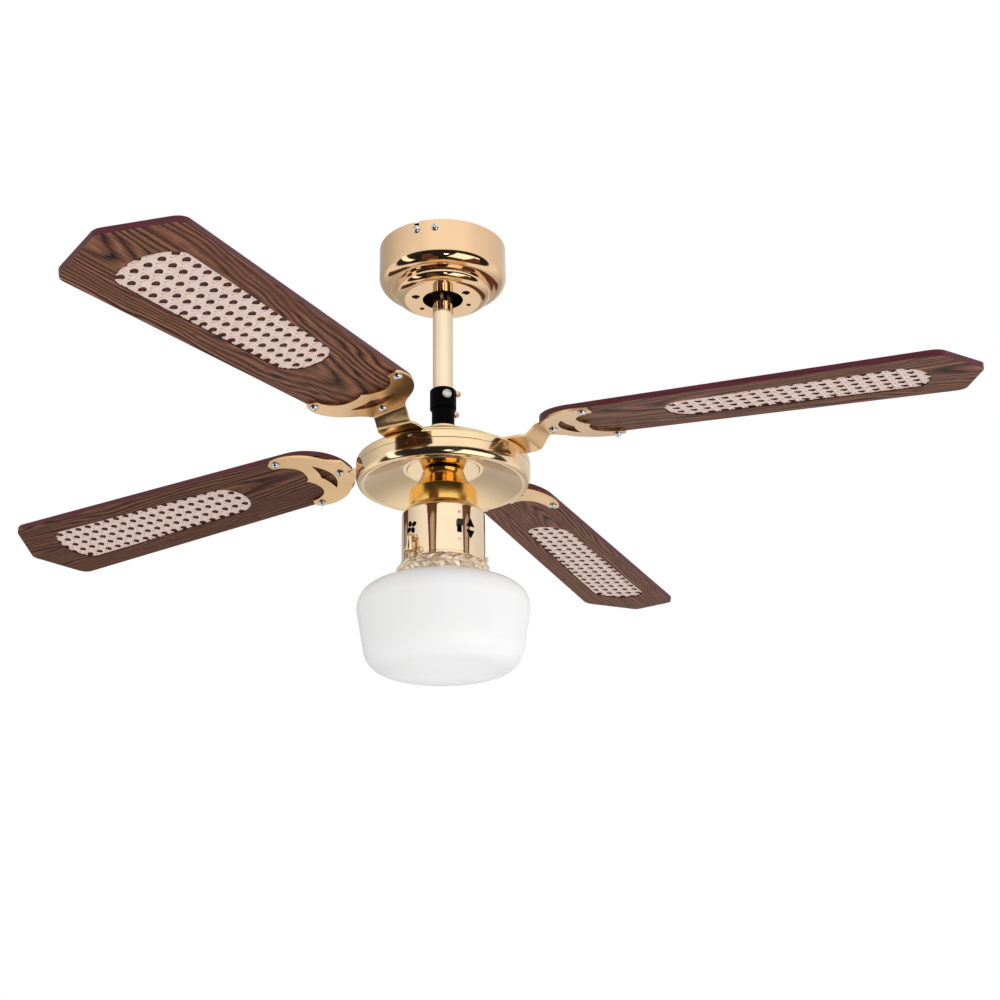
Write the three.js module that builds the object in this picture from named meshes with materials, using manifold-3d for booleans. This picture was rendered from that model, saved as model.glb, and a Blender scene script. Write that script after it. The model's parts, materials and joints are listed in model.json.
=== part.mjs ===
// Ceiling fan with light: four blades with cane panels turn on a motor that hangs from a downrod,
// and a switch housing below the motor carries an ornamental ring and a closed opal glass shade.
// Millimetres, +Z up. The origin is the centre of the hanger bracket's ceiling face, so the whole
// fan lies below Z = 0. Four groups follow the way it comes apart: what is fixed to the ceiling,
// the pin in the hanger ball, what hangs still on the downrod, and what turns with the blades.
import * as THREE from 'three';
import { mergeVertices } from 'three/addons/utils/BufferGeometryUtils.js';
import Module from 'manifold-3d';

// ---- Driving dimensions ------------------------------------------------------------------------

const seatGap = 0.3;              // left between two pieces that touch
const runningGap = 1.6;           // left between a turning piece and a still one
const coverSheet = 1.5;           // thickness of the pressed brass covers

// Hanger: bracket, canopy, ball and cross pin
const canopyRadius = 66.5;
const canopyDepth = 58;
const canopyRound = 13;           // height of the round at the canopy's lower edge
const canopyStepRadius = 50;      // the lower, smaller step of the canopy
const canopyStepDepth = 12;       // height of that step
const canopyStepWall = 4;         // straight wall of that step above its round
const canopyFlatRadius = 38;      // where the round of the step meets the flat bottom
const canopyHoleRadius = 21;
const canopyVentRadius = 30.5;    // from the axis to the vents in the flat bottom
const canopyScrewDrop = 9;        // from the ceiling to the canopy screws
const canopyScrewSpread = 17;     // angle between the two screws of one ear, degrees
const canopyScrewRadius = 2;
const canopyScrewHead = 4.2;
const canopyScrewReach = 3;       // how far a canopy screw passes through its ear
const bayonetWidth = 5;           // of the slot that slips over a screw
const bracketPlate = 3;
const bracketWidth = 58;
const bracketAzimuth = 255;       // direction of the bracket's ears, degrees
const ceilingSlotLength = 20;
const ceilingSlotWidth = 5.5;
const ceilingSlotSpacing = 76;    // between the centres of the two ceiling screw slots
const wireHoleRadius = 6;
const wireHoleOffset = 14;        // the wires pass beside the bracket's centre
const earHalfWidth = 15;
const earTail = 7;                // how far an ear reaches below its screws
const legHalfWidth = 9;
const cradleSeatDrop = 8;         // from the ball's centre to the top of its seat
const cradleSeatHeight = 7;
const cradleWall = 5;
const ballRadius = 24;
const ballDrop = 28;              // from the ceiling to the centre of the ball
const ballTopCut = 11;            // height of the ball's flat top over its centre
const ballClearance = 0.5;        // between the ball and its seat
const crossPinRadius = 3;

// Downrod and coupling
const rodRadius = 10.5;
const rodWall = 1.8;
const rodLength = 169.5;
const rodAboveBall = 14;          // how far the rod stands over the ball's centre
const couplingRadius = 13.5;
const couplingSocket = 21;        // depth to which the coupling takes the rod
const couplingNeckRadius = 11.6;
const couplingNeckLength = 23;
const couplingFloor = 2;          // from the rod's end to the coupling's shoulder
const clevisBoltRadius = 2.6;
const clevisBoltAzimuth = 253;
const clevisBoltDrop = 9.5;       // from the coupling's top to the bolt
const setScrewRadius = 2;
const setScrewDrop = 4;           // from the coupling's top, and from its shoulder
const setScrewAzimuth = 0;

// Motor
const shaftRadius = 8;
const shaftBore = 4.5;
const housingRadius = 87.5;
const housingFlangeDrop = 33.5;   // from the top of the collar to the flange under the blade irons
const housingEdgeRound = 4;       // round between the flange and the wall
const housingWallHeight = 14;     // straight wall between the two rounded edges
const housingBottomRound = 10;    // height of the round between the wall and the bottom rim
const housingSeamDrop = 11;       // from the flange to the seam between the two covers
const crownRadius = 66;           // the raised middle of the upper cover
const crownDrop = 22;             // from the top of the collar to the crown's shoulder
const crownEdge = 6;              // round at the crown's shoulder
const collarRadius = 17;
const collarLap = 2.5;            // how far the collar stands over the coupling's lower end
const bottomRimRadius = 82;
const bottomHollow = 16.5;        // how far the underside is drawn up inside its rim
const bottomDiscRadius = 35;      // flat middle of the underside, round the neck
const bearingRadius = 17;
const bearingHeight = 5;
const coreRadius = 56;
const coreHeight = 9;
const coreSlots = 12;
const slotInner = 28;             // from the axis to the inner end of a winding slot
const slotWidth = 6;
const slotRim = 6;                // iron left outside a slot
const airGap = 0.8;
const windingHeight = 4.5;

// Blades and their irons
const bladeCount = 4;
const firstBladeAzimuth = 62;
const bladeTipRadius = 533;       // from the fan's axis to the point of a blade
const bladeHeelRadius = 112;      // from the fan's axis to the round heel of a blade
const bladeHeelRound = 48;
const bladeHeelWidth = 97;
const bladeTipWidth = 119;
const bladeTipPoint = 27;         // depth of the shallow point at the tip
const bladeCornerRound = 9;
const bladeThickness = 5.5;
const bladePitch = 7.6;           // twist about the blade's own axis, degrees
const bladeDroop = 4.1;           // fall towards the tip, degrees
const bladeRise = 13.2;           // from the flange up to a blade's underside at the iron's bend
const caneBorder = 25.2;          // wood left along each side of the cane panel
const caneHeelRadius = 240;       // from the fan's axis to the inner end of the panel
const caneTipRadius = 485;        // from the fan's axis to the outer end of the panel
const caneHeelRound = 23;
const caneTipRound = 16;
const caneRecess = 2.3;
const canePanelThickness = 1;
const ironThickness = 2.5;
const ironNeckWidth = 35;
const ironFootWidth = 43;
const ironArmSpread = 45;         // from a blade's centreline to each arm's screw
const ironArmRadius = 172;        // from the fan's axis to the screws of the arms
const ironHeelScrewRadius = 122;  // from the fan's axis to the screw near the neck
const ironInnerBend = 101;
const ironOuterBend = 110;
const bladeScrewRadius = 2;
const bladeScrewHead = 4;
const bladeScrewBite = 3.4;       // depth of a screw in the wood

// Switch housing
const neckTopRadius = 21;
const neckSkirtRadius = 34;
const neckFlare = 22;             // from the neck's top down to its straight skirt
const neckSkirt = 18.5;           // height of that skirt
const cupRadius = 41.3;
const cupHeight = 58;
const cupEdgeRound = 8.5;
const reverseAzimuth = 292;
const reverseSlotWidth = 5;
const reverseSlotHeight = 13.5;
const reverseDrop = 30;           // from the cup's top to the middle of the reversing slot
const knobWidth = 6;
const knobHeight = 6.5;
const knobStandOut = 2.6;
const fanPullAzimuth = 226;
const lightPullAzimuth = 46;
const pullDrop = 39;              // from the cup's top to the pull switches' outlets
const outletRadius = 2.8;
const bellRadius = 5.5;           // mouth of the bell under an outlet
const bellHeight = 19;
const bellWall = 1;
const chainLength = 25.5;
const chainBead = 1.1;            // radius of a bead
const chainEndRadius = 1.8;

const capacitorOffset = 14;       // from the fan's axis to the capacitor
const capacitorDepth = 14;
const capacitorWidth = 30;
const capacitorHeight = 30;

// Light
const ringHeight = 16;
const ringFootRadius = 45.4;
const ringWall = 2.6;
const spigotHeight = 9;           // the sleeve of the ring inside the cup
const webDrop = 1.2;              // from the ring's top to the web that carries the lamp holder
const webThickness = 1.8;
const holderRadius = 19.6;
const holderHeight = 36;
const bulbRadius = 27;
const bulbLength = 88;
const shadeRadius = 84.6;
const shadeHeight = 97;           // below the ring
const shadeWall = 3;
const shadeShoulder = 30;         // from the ring down to the widest part
const shadeTaper = 7;             // how much narrower the shade is at its lower edge
const shadeEdge = 27;             // from the shade's bottom up to its lower edge

// ---- Levels and radii that follow from them ----------------------------------------------------

const ballCentre = -ballDrop;
const rodTop = ballCentre + rodAboveBall;
const rodBottom = rodTop - rodLength;
const couplingTop = rodBottom + couplingSocket;
const couplingShoulder = rodBottom - couplingFloor;
const couplingBottom = couplingShoulder - couplingNeckLength;
const collarTop = couplingBottom + collarLap;
const flange = collarTop - housingFlangeDrop;
const seam = flange - housingSeamDrop;
const wallBottom = flange - housingEdgeRound - housingWallHeight;
const rimBottom = wallBottom - housingBottomRound;
const underside = rimBottom + bottomHollow;
const neckTop = underside - runningGap;
const skirtTop = neckTop - neckFlare;
const cupTop = skirtTop - neckSkirt;
const cupBottom = cupTop - cupHeight;
const ringTop = cupBottom - seatGap;
const ringBottom = ringTop - ringHeight;
const webTop = ringTop - webDrop;
const webBottom = webTop - webThickness;
const shaftTop = couplingShoulder - seatGap;
const shaftBottom = cupTop - shaftRadius;
const canopyInside = canopyRadius - coverSheet;
const cupInside = cupRadius - coverSheet;
const bladePivot = flange + bladeRise + ironOuterBend * Math.tan(degrees(bladeDroop));
const round = 24;                 // facets round a large turned piece
const roundMedium = 20;           // facets round the rod and the pieces on it
const roundSmall = 12;            // facets round a pin, a screw or a hole

// ---- Solids ------------------------------------------------------------------------------------

const wasm = await Module();
wasm.setup();

function degrees(angle) {
  return THREE.MathUtils.degToRad(angle);
}

// A closed geometry as a manifold solid: corners shared, triangles without area left out.
function toSolid(geometry) {
  const bare = geometry.clone();
  bare.deleteAttribute('normal');
  bare.deleteAttribute('uv');
  const merged = mergeVertices(bare, 1e-4);
  const corners = merged.index.array;
  const kept = [];
  for (let i = 0; i < corners.length; i += 3) {
    const [a, b, c] = [corners[i], corners[i + 1], corners[i + 2]];
    if (a !== b && b !== c && c !== a) kept.push(a, b, c);
  }
  return new wasm.Manifold(new wasm.Mesh({
    numProp: 3,
    vertProperties: new Float32Array(merged.attributes.position.array),
    triVerts: new Uint32Array(kept),
  }));
}

function toGeometry(solid) {
  const mesh = solid.getMesh();
  const geometry = new THREE.BufferGeometry();
  geometry.setAttribute('position', new THREE.BufferAttribute(mesh.vertProperties, 3));
  geometry.setIndex(new THREE.BufferAttribute(mesh.triVerts, 1));
  geometry.computeVertexNormals();
  return geometry;
}

function join(first, ...others) {
  return toGeometry(others.reduce((solid, other) => solid.add(toSolid(other)), toSolid(first)));
}

function cut(base, ...tools) {
  return toGeometry(tools.reduce((solid, tool) => solid.subtract(toSolid(tool)), toSolid(base)));
}

function common(first, second) {
  return toGeometry(toSolid(first).intersect(toSolid(second)));
}

// A profile of [radius, z] points, turned about the Z axis. It closes on itself.
function turned(profile, facets = round) {
  const points = profile.map(([r, z]) => new THREE.Vector2(r, z));
  if (THREE.ShapeUtils.area(points) < 0) points.reverse();
  points.push(points[0].clone());
  return new THREE.LatheGeometry(points, facets).rotateX(Math.PI / 2);
}

// A ring of rectangular section.
function ring(inner, outer, bottom, top, facets = round) {
  return turned([[inner, bottom], [outer, bottom], [outer, top], [inner, top]], facets);
}

// A solid cylinder between two heights.
function cylinder(radius, bottom, top, facets = roundSmall) {
  return new THREE.CylinderGeometry(radius, radius, top - bottom, facets)
    .rotateX(Math.PI / 2).translate(0, 0, (top + bottom) / 2);
}

// A solid cylinder along +X from one distance to another.
function bar(radius, from, to, facets = roundSmall) {
  return cylinder(radius, from, to, facets).rotateY(Math.PI / 2);
}

function box(x0, x1, y0, y1, z0, z1) {
  return new THREE.BoxGeometry(x1 - x0, y1 - y0, z1 - z0)
    .translate((x0 + x1) / 2, (y0 + y1) / 2, (z0 + z1) / 2);
}

function prism(shape, bottom, top, curveSegments = 10) {
  return new THREE.ExtrudeGeometry(shape, { depth: top - bottom, bevelEnabled: false, curveSegments })
    .translate(0, 0, bottom);
}

// Points of an elliptical quarter round from one corner point to another. The curve leaves the
// first point straight up or down and reaches the second one level.
function quarterRound([r0, z0], [r1, z1], steps = 2) {
  const points = [];
  for (let i = 0; i <= steps; i++) {
    const angle = (i / steps) * Math.PI / 2;
    points.push([r1 + (r0 - r1) * Math.cos(angle), z0 + (z1 - z0) * Math.sin(angle)]);
  }
  return points;
}

// A profile moved sideways by a distance, to the left of its direction.
function offsetProfile(profile, distance) {
  return profile.map((point, i) => {
    const before = profile[Math.max(i - 1, 0)];
    const after = profile[Math.min(i + 1, profile.length - 1)];
    const [dr, dz] = [after[0] - before[0], after[1] - before[1]];
    const length = Math.hypot(dr, dz);
    return [Math.max(point[0] - distance * dz / length, 0), point[1] + distance * dr / length];
  });
}

// ---- Materials ---------------------------------------------------------------------------------

function finish(color, roughness, metalness) {
  return () => new THREE.MeshStandardMaterial({ color, roughness, metalness });
}

const polishedBrass = finish(0xd9b56c, 0.15, 1);
const blackPaint = finish(0x17171a, 0.5, 0.2);
const zincSteel = finish(0xb9bcc0, 0.35, 1);
const chrome = finish(0xdfe3e8, 0.1, 1);
const coreSteel = finish(0x6d7075, 0.45, 0.9);
const copper = finish(0xb4683c, 0.35, 1);
const walnut = finish(0x5a3a2a, 0.45, 0);
const cane = finish(0xdcc4b4, 0.6, 0);
const blackPlastic = finish(0x141416, 0.4, 0);
const greyPlastic = finish(0x8a8c8e, 0.5, 0);
const porcelain = finish(0xe8e4da, 0.35, 0);
const opalGlass = finish(0xf7f7f5, 0.12, 0);
const frostedGlass = finish(0xf2f0ea, 0.3, 0);

// ---- Scene graph -------------------------------------------------------------------------------

const fan = new THREE.Group();

function group(parent) {
  const child = new THREE.Group();
  parent.add(child);
  return child;
}

function piece(parent, name, geometry, material) {
  const mesh = new THREE.Mesh(geometry, material());
  mesh.name = name;
  parent.add(mesh);
}

// ---- Ceiling mount -----------------------------------------------------------------------------

const cradleSeatTop = ballCentre - cradleSeatDrop;
const cradleSeatBottom = cradleSeatTop - cradleSeatHeight;
const cradleOuter = ballRadius + cradleWall;
const legInside = ballRadius + runningGap;
const earFace = Math.sqrt((canopyInside - 1) ** 2 - earHalfWidth ** 2);

function bracketGeometry() {
  const plate = common(
    box(-canopyInside, canopyInside, -bracketWidth / 2, bracketWidth / 2, -bracketPlate, 0),
    cylinder(canopyInside - 1, -bracketPlate, 0, round),
  );
  const earDepth = canopyScrewDrop + earTail;
  const ears = [-1, 1].map((side) => box(
    side > 0 ? earFace - bracketPlate : -earFace, side > 0 ? earFace : bracketPlate - earFace,
    -earHalfWidth, earHalfWidth, -earDepth, -bracketPlate / 2,
  ));
  const legs = [-1, 1].map((side) => box(
    -legHalfWidth, legHalfWidth, side > 0 ? legInside : -legInside - bracketPlate,
    side > 0 ? legInside + bracketPlate : -legInside, cradleSeatBottom, -bracketPlate / 2,
  ));
  const seatRadius = (z) => Math.sqrt((ballRadius + ballClearance) ** 2 - (z - ballCentre) ** 2);
  const seatMiddle = (cradleSeatTop + cradleSeatBottom) / 2;
  const cradle = turned([
    [seatRadius(cradleSeatBottom), cradleSeatBottom], [cradleOuter, cradleSeatBottom],
    [cradleOuter, cradleSeatTop], [seatRadius(cradleSeatTop), cradleSeatTop],
    [seatRadius(seatMiddle), seatMiddle],
  ]);
  const mouth = rodRadius + runningGap;
  const slots = [-1, 1].map((side) => {
    const middle = side * ceilingSlotSpacing / 2;
    const reach = (ceilingSlotLength - ceilingSlotWidth) / 2;
    const slot = new THREE.Shape();
    slot.absarc(middle + reach, 0, ceilingSlotWidth / 2, -Math.PI / 2, Math.PI / 2);
    slot.absarc(middle - reach, 0, ceilingSlotWidth / 2, Math.PI / 2, 3 * Math.PI / 2);
    return prism(slot, -bracketPlate - 1, 1, 6);
  });
  const screwHoles = canopyScrewAngles().map((angle) => (
    bar(canopyScrewRadius + seatGap, earFace - 8, canopyRadius)
      .rotateZ(degrees(angle)).translate(0, 0, -canopyScrewDrop)
  ));
  return cut(
    join(plate, ...ears, ...legs, cradle),
    box(0, cradleOuter + 1, -mouth, mouth, cradleSeatBottom - 1, cradleSeatTop + 1),
    cylinder(wireHoleRadius, -bracketPlate - 1, 1).translate(wireHoleOffset, 0, 0),
    ...slots, ...screwHoles,
  );
}

// Directions of the four canopy screws, from the bracket's own X axis.
function canopyScrewAngles() {
  return [0, 180].flatMap((side) => [side - canopyScrewSpread / 2, side + canopyScrewSpread / 2]);
}

function canopyGeometry() {
  const ledge = -(canopyDepth - canopyStepDepth);
  const stepRoundTop = ledge - canopyStepWall;
  const stepInside = canopyStepRadius - coverSheet;
  const outline = [
    [canopyRadius, 0],
    ...quarterRound([canopyRadius, ledge + canopyRound], [canopyStepRadius + 3, ledge]),
    [canopyStepRadius, ledge - 0.6],
    ...quarterRound([canopyStepRadius, stepRoundTop], [canopyFlatRadius, -canopyDepth], 3),
    [canopyHoleRadius, -canopyDepth],
  ];
  const inside = [
    [canopyInside, 0],
    ...quarterRound(
      [canopyInside, ledge + canopyRound], [canopyStepRadius + coverSheet, ledge + coverSheet]),
    [stepInside, ledge],
    ...quarterRound([stepInside, stepRoundTop], [canopyFlatRadius, coverSheet - canopyDepth], 3),
    [canopyHoleRadius, coverSheet - canopyDepth],
  ];
  const shell = turned([...outline, ...inside.reverse()]);
  const screwHoles = canopyScrewAngles().map((angle) => (
    bar(canopyScrewRadius + 0.5, canopyInside - 3, canopyRadius + 3)
      .rotateZ(degrees(angle)).translate(0, 0, -canopyScrewDrop)
  ));
  const bayonetSlots = [0, 180].map((side) => (
    box(
      canopyInside - 3, canopyRadius + 3, -bayonetWidth / 2, bayonetWidth / 2, -canopyScrewDrop, 1,
    ).rotateZ(degrees(side - canopyScrewSpread / 2))
  ));
  const ventAngles = [[-64, 3.6], [64, 3.6], [-122, 2.3], [122, 2.3]];
  const vents = ventAngles.map(([angle, radius]) => (
    cylinder(radius, -canopyDepth - 1, coverSheet + 1 - canopyDepth)
      .translate(canopyVentRadius, 0, 0).rotateZ(degrees(angle))
  ));
  return cut(shell, ...screwHoles, ...bayonetSlots, ...vents);
}

function canopyScrewGeometry() {
  const end = earFace - bracketPlate - canopyScrewReach;
  const seat = canopyRadius + seatGap;
  return turned([
    [0, end], [canopyScrewRadius, end], [canopyScrewRadius, seat], [canopyScrewHead, seat],
    [canopyScrewHead - 1.2, seat + 1.6], [0, seat + 2.3],
  ], 8).rotateY(Math.PI / 2).translate(0, 0, -canopyScrewDrop);
}

const mount = group(fan);
mount.rotation.z = degrees(bracketAzimuth);
piece(mount, 'hanger_bracket', bracketGeometry(), blackPaint);
piece(mount, 'canopy', canopyGeometry(), polishedBrass);
canopyScrewAngles().forEach((angle, i) => {
  piece(mount, `canopy_screw_${i + 1}`, canopyScrewGeometry().rotateZ(degrees(angle)), chrome);
});
piece(mount, 'terminal_block', terminalBlockGeometry(), greyPlastic);

function terminalBlockGeometry() {
  const back = legInside + bracketPlate + seatGap;
  const middle = ballCentre + 8;
  const body = box(-15, 15, back, back + 10, middle - 6, middle + 6);
  const ways = [-10, 0, 10].map((x) => (
    cylinder(2, middle - 7, middle + 7, 8).translate(x, back + 5, 0)
  ));
  return cut(body, ...ways);
}

// ---- Hanger ball, downrod and coupling ---------------------------------------------------------

const crossPinLength = 2 * ballRadius - 5;
const clevisBoltLevel = couplingTop - clevisBoltDrop;
const upperSetScrewLevel = couplingTop - setScrewDrop;
const lowerSetScrewLevel = couplingShoulder - setScrewDrop;

function crossPinBore() {
  return cylinder(crossPinRadius + seatGap, -ballRadius - 1, ballRadius + 1)
    .rotateX(Math.PI / 2).translate(0, 0, ballCentre);
}

function clevisBoltBore() {
  return bar(clevisBoltRadius + seatGap, -couplingRadius - 1, couplingRadius + 1)
    .rotateZ(degrees(clevisBoltAzimuth)).translate(0, 0, clevisBoltLevel);
}

function ballGeometry() {
  const bore = rodRadius + seatGap;
  const topAngle = Math.asin(ballTopCut / ballRadius);
  const bottomAngle = -Math.acos(bore / ballRadius);
  const steps = 7;
  const profile = [];
  for (let i = 0; i <= steps; i++) {
    const angle = bottomAngle + (i / steps) * (topAngle - bottomAngle);
    profile.push([ballRadius * Math.cos(angle), ballCentre + ballRadius * Math.sin(angle)]);
  }
  profile.push([bore, ballCentre + ballTopCut]);
  return cut(turned(profile, roundMedium), crossPinBore());
}

function downrodGeometry() {
  return cut(
    ring(rodRadius - rodWall, rodRadius, rodBottom, rodTop, roundMedium),
    crossPinBore(), clevisBoltBore(),
  );
}

function couplingGeometry() {
  const body = turned([
    [shaftRadius + seatGap, couplingBottom], [couplingNeckRadius, couplingBottom],
    [couplingNeckRadius, couplingShoulder - 0.5], [couplingRadius, couplingShoulder + 1.5],
    [couplingRadius, couplingTop - 1], [couplingRadius - 1, couplingTop],
    [rodRadius + seatGap, couplingTop], [rodRadius + seatGap, rodBottom - seatGap],
    [shaftRadius + seatGap, rodBottom - seatGap],
  ], roundMedium);
  const tapped = (level) => bar(setScrewRadius + seatGap, shaftRadius, couplingRadius + 1)
    .rotateZ(degrees(setScrewAzimuth)).translate(0, 0, level);
  return cut(body, clevisBoltBore(), tapped(upperSetScrewLevel), tapped(lowerSetScrewLevel));
}

function clevisBoltGeometry() {
  const face = couplingRadius + seatGap;
  return join(
    bar(clevisBoltRadius, -face - 5, face + 1),
    bar(5.2, face, face + 3.2, 6),
    bar(4.8, -face - 3.6, -face, 6),
  ).rotateZ(degrees(clevisBoltAzimuth)).translate(0, 0, clevisBoltLevel);
}

// A set screw with its lock nut. It ends just clear of what it presses on.
function setScrewGeometry(pressedRadius, outsideRadius, level) {
  const face = outsideRadius + seatGap;
  return join(
    bar(setScrewRadius, pressedRadius + seatGap + 0.2, face + 6),
    bar(3.8, face, face + 2.4, 6),
  ).rotateZ(degrees(setScrewAzimuth)).translate(0, 0, level);
}

const pinGroup = group(fan);
piece(pinGroup, 'hanger_cross_pin', cylinder(crossPinRadius, -crossPinLength / 2, crossPinLength / 2)
  .rotateX(Math.PI / 2).translate(0, 0, ballCentre), zincSteel);

const hanging = group(fan);
piece(hanging, 'hanger_ball', ballGeometry(), blackPlastic);
piece(hanging, 'downrod', downrodGeometry(), polishedBrass);
piece(hanging, 'coupling', couplingGeometry(), blackPaint);
piece(hanging, 'clevis_bolt', clevisBoltGeometry(), zincSteel);
piece(hanging, 'set_screw_upper', setScrewGeometry(
  rodRadius + seatGap, couplingRadius, upperSetScrewLevel), copper);
piece(hanging, 'set_screw_lower', setScrewGeometry(
  shaftRadius, couplingNeckRadius, lowerSetScrewLevel), copper);

// ---- Motor -------------------------------------------------------------------------------------

const crownShoulder = collarTop - crownDrop;
const crownInside = crownRadius - coverSheet;
const upperBearingTop = collarTop - 8;
const lowerBearingBottom = underside + coverSheet + seatGap;
const coreTop = crownShoulder - crownEdge;
const coreBottom = coreTop - coreHeight;
const slotOuter = coreRadius - slotRim;

function upperCoverGeometry() {
  const hole = couplingNeckRadius + runningGap;
  const pocket = bearingRadius + seatGap;
  const outline = [
    [hole, collarTop], [collarRadius, collarTop], [collarRadius + 0.6, collarTop - 2.5],
    ...quarterRound(
      [crownRadius, crownShoulder - crownEdge], [crownRadius - crownEdge, crownShoulder]).reverse(),
    [crownRadius + 0.8, flange],
    ...quarterRound(
      [housingRadius, flange - housingEdgeRound], [housingRadius - housingEdgeRound, flange],
    ).reverse(),
    [housingRadius, seam],
  ];
  const inside = [
    [housingRadius - coverSheet, seam],
    ...quarterRound(
      [housingRadius - coverSheet, flange - housingEdgeRound],
      [housingRadius - housingEdgeRound, flange - coverSheet]),
    [crownInside + 0.8, flange - coverSheet],
    ...quarterRound(
      [crownInside, crownShoulder - crownEdge],
      [crownRadius - crownEdge, crownShoulder - coverSheet - 0.1]),
    [pocket + 2, collarTop - 6], [pocket + 2, upperBearingTop - bearingHeight],
    [pocket, upperBearingTop - bearingHeight], [pocket, upperBearingTop + seatGap],
    [hole, upperBearingTop + seatGap],
  ];
  return turned([...outline, ...inside]);
}

function lowerCoverGeometry() {
  const hole = shaftRadius + runningGap;
  const pocket = bearingRadius + seatGap;
  const top = seam - seatGap;
  const concave = new THREE.QuadraticBezierCurve(
    new THREE.Vector2(bottomRimRadius - 2.5, rimBottom + 0.6),
    new THREE.Vector2(bottomRimRadius * 0.68, underside - 3),
    new THREE.Vector2(bottomDiscRadius, underside),
  ).getPoints(3).map(({ x, y }) => [x, y]);
  const outline = [
    [housingRadius, top],
    ...quarterRound([housingRadius, wallBottom], [bottomRimRadius + 1, rimBottom + 0.4], 3),
    [bottomRimRadius, rimBottom], ...concave, [hole, underside],
  ];
  const inside = [
    [hole, underside + coverSheet], [pocket, underside + coverSheet],
    [pocket, lowerBearingBottom + bearingHeight], [pocket + 2, lowerBearingBottom + bearingHeight],
    [pocket + 2, underside + coverSheet],
    ...concave.reverse().map(([r, z]) => [r - 0.4, z + coverSheet]),
    ...quarterRound(
      [housingRadius - coverSheet, wallBottom], [bottomRimRadius, rimBottom + 2.4], 3).reverse(),
    [housingRadius - coverSheet, top],
  ];
  return turned([...outline, ...inside]);
}

// The slots that hold the windings, as boxes round the axis, grown or shrunk by a clearance.
function coreSlotBoxes(clearance, bottom, top) {
  return Array.from({ length: coreSlots }, (_, i) => box(
    slotInner - clearance, slotOuter + clearance,
    -slotWidth / 2 - clearance, slotWidth / 2 + clearance, bottom, top,
  ).rotateZ(2 * Math.PI * i / coreSlots));
}

function coreGeometry() {
  return cut(
    ring(shaftRadius + seatGap, coreRadius, coreBottom, coreTop),
    ...coreSlotBoxes(0, coreBottom - 1, coreTop + 1),
  );
}

function windingGeometry() {
  const upper = [coreTop + seatGap, coreTop + seatGap + windingHeight];
  const lower = [coreBottom - seatGap - windingHeight, coreBottom - seatGap];
  return join(
    ring(slotInner, slotOuter, ...upper), ring(slotInner, slotOuter, ...lower),
    ...coreSlotBoxes(-seatGap, lower[0] + 1, upper[1] - 1),
  );
}

function bearingGeometry(bottom) {
  const top = bottom + bearingHeight;
  const inner = shaftRadius + seatGap;
  const groove = (bearingRadius + inner) / 2;
  return turned([
    [inner, bottom], [bearingRadius, bottom], [bearingRadius, top], [groove + 2, top],
    [groove, top - 1], [groove - 2, top], [inner, top],
  ], roundMedium);
}

piece(hanging, 'motor_shaft', ring(
  shaftBore, shaftRadius, shaftBottom, shaftTop, roundMedium), zincSteel);
piece(hanging, 'stator_core', coreGeometry(), coreSteel);
piece(hanging, 'stator_windings', windingGeometry(), copper);

const rotor = group(fan);
piece(rotor, 'upper_motor_cover', upperCoverGeometry(), polishedBrass);
piece(rotor, 'lower_motor_cover', lowerCoverGeometry(), polishedBrass);
piece(rotor, 'rotor_ring', ring(
  coreRadius + airGap, crownInside - seatGap, coreBottom, coreTop), coreSteel);
piece(rotor, 'upper_bearing', bearingGeometry(upperBearingTop - bearingHeight), zincSteel);
piece(rotor, 'lower_bearing', bearingGeometry(lowerBearingBottom), zincSteel);

// ---- Blades ------------------------------------------------------------------------------------

const heelCentre = bladeHeelRadius + bladeHeelRound;
const tipCorner = bladeTipRadius - bladeTipPoint;

// Half the blade's width at a distance from the fan's axis.
function bladeHalfWidth(u) {
  const share = (u - heelCentre) / (tipCorner - heelCentre);
  return THREE.MathUtils.lerp(bladeHeelWidth, bladeTipWidth, share) / 2;
}

function bladeShape() {
  const corner = bladeHalfWidth(tipCorner);
  const back = bladeHalfWidth(tipCorner - bladeCornerRound);
  const alongTip = bladeCornerRound / corner;
  const nearCorner = [tipCorner + bladeTipPoint * alongTip, corner * (1 - alongTip)];
  const point = 0.08;
  const shape = new THREE.Shape();
  shape.absellipse(heelCentre, 0, bladeHeelRound, bladeHeelWidth / 2, Math.PI / 2, 3 * Math.PI / 2);
  shape.lineTo(tipCorner - bladeCornerRound, -back);
  shape.quadraticCurveTo(tipCorner, -corner, nearCorner[0], -nearCorner[1]);
  shape.lineTo(bladeTipRadius - bladeTipPoint * point, -corner * point);
  shape.quadraticCurveTo(
    bladeTipRadius, 0, bladeTipRadius - bladeTipPoint * point, corner * point);
  shape.lineTo(nearCorner[0], nearCorner[1]);
  shape.quadraticCurveTo(tipCorner, corner, tipCorner - bladeCornerRound, back);
  return shape;
}

// Outline of the cane panel, or of its recess when it is grown by a clearance.
function caneShape(clearance) {
  const heel = caneHeelRadius + caneHeelRound;
  const tip = caneTipRadius - caneTipRound;
  const heelHalf = bladeHalfWidth(heel) - caneBorder + clearance;
  const tipHalf = bladeHalfWidth(tip) - caneBorder + clearance;
  const end = caneTipRadius + clearance;
  const shape = new THREE.Shape();
  shape.absellipse(heel, 0, caneHeelRound + clearance, heelHalf, Math.PI / 2, 3 * Math.PI / 2);
  shape.lineTo(tip - 4, -tipHalf);
  shape.bezierCurveTo(tip + 6, -tipHalf, end, -tipHalf * 0.5, end, 0);
  shape.bezierCurveTo(end, tipHalf * 0.5, tip + 6, tipHalf, tip - 4, tipHalf);
  return shape;
}

const bladeScrewPlaces = [
  [ironArmRadius, ironArmSpread], [ironArmRadius, -ironArmSpread], [ironHeelScrewRadius, 0],
];

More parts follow.
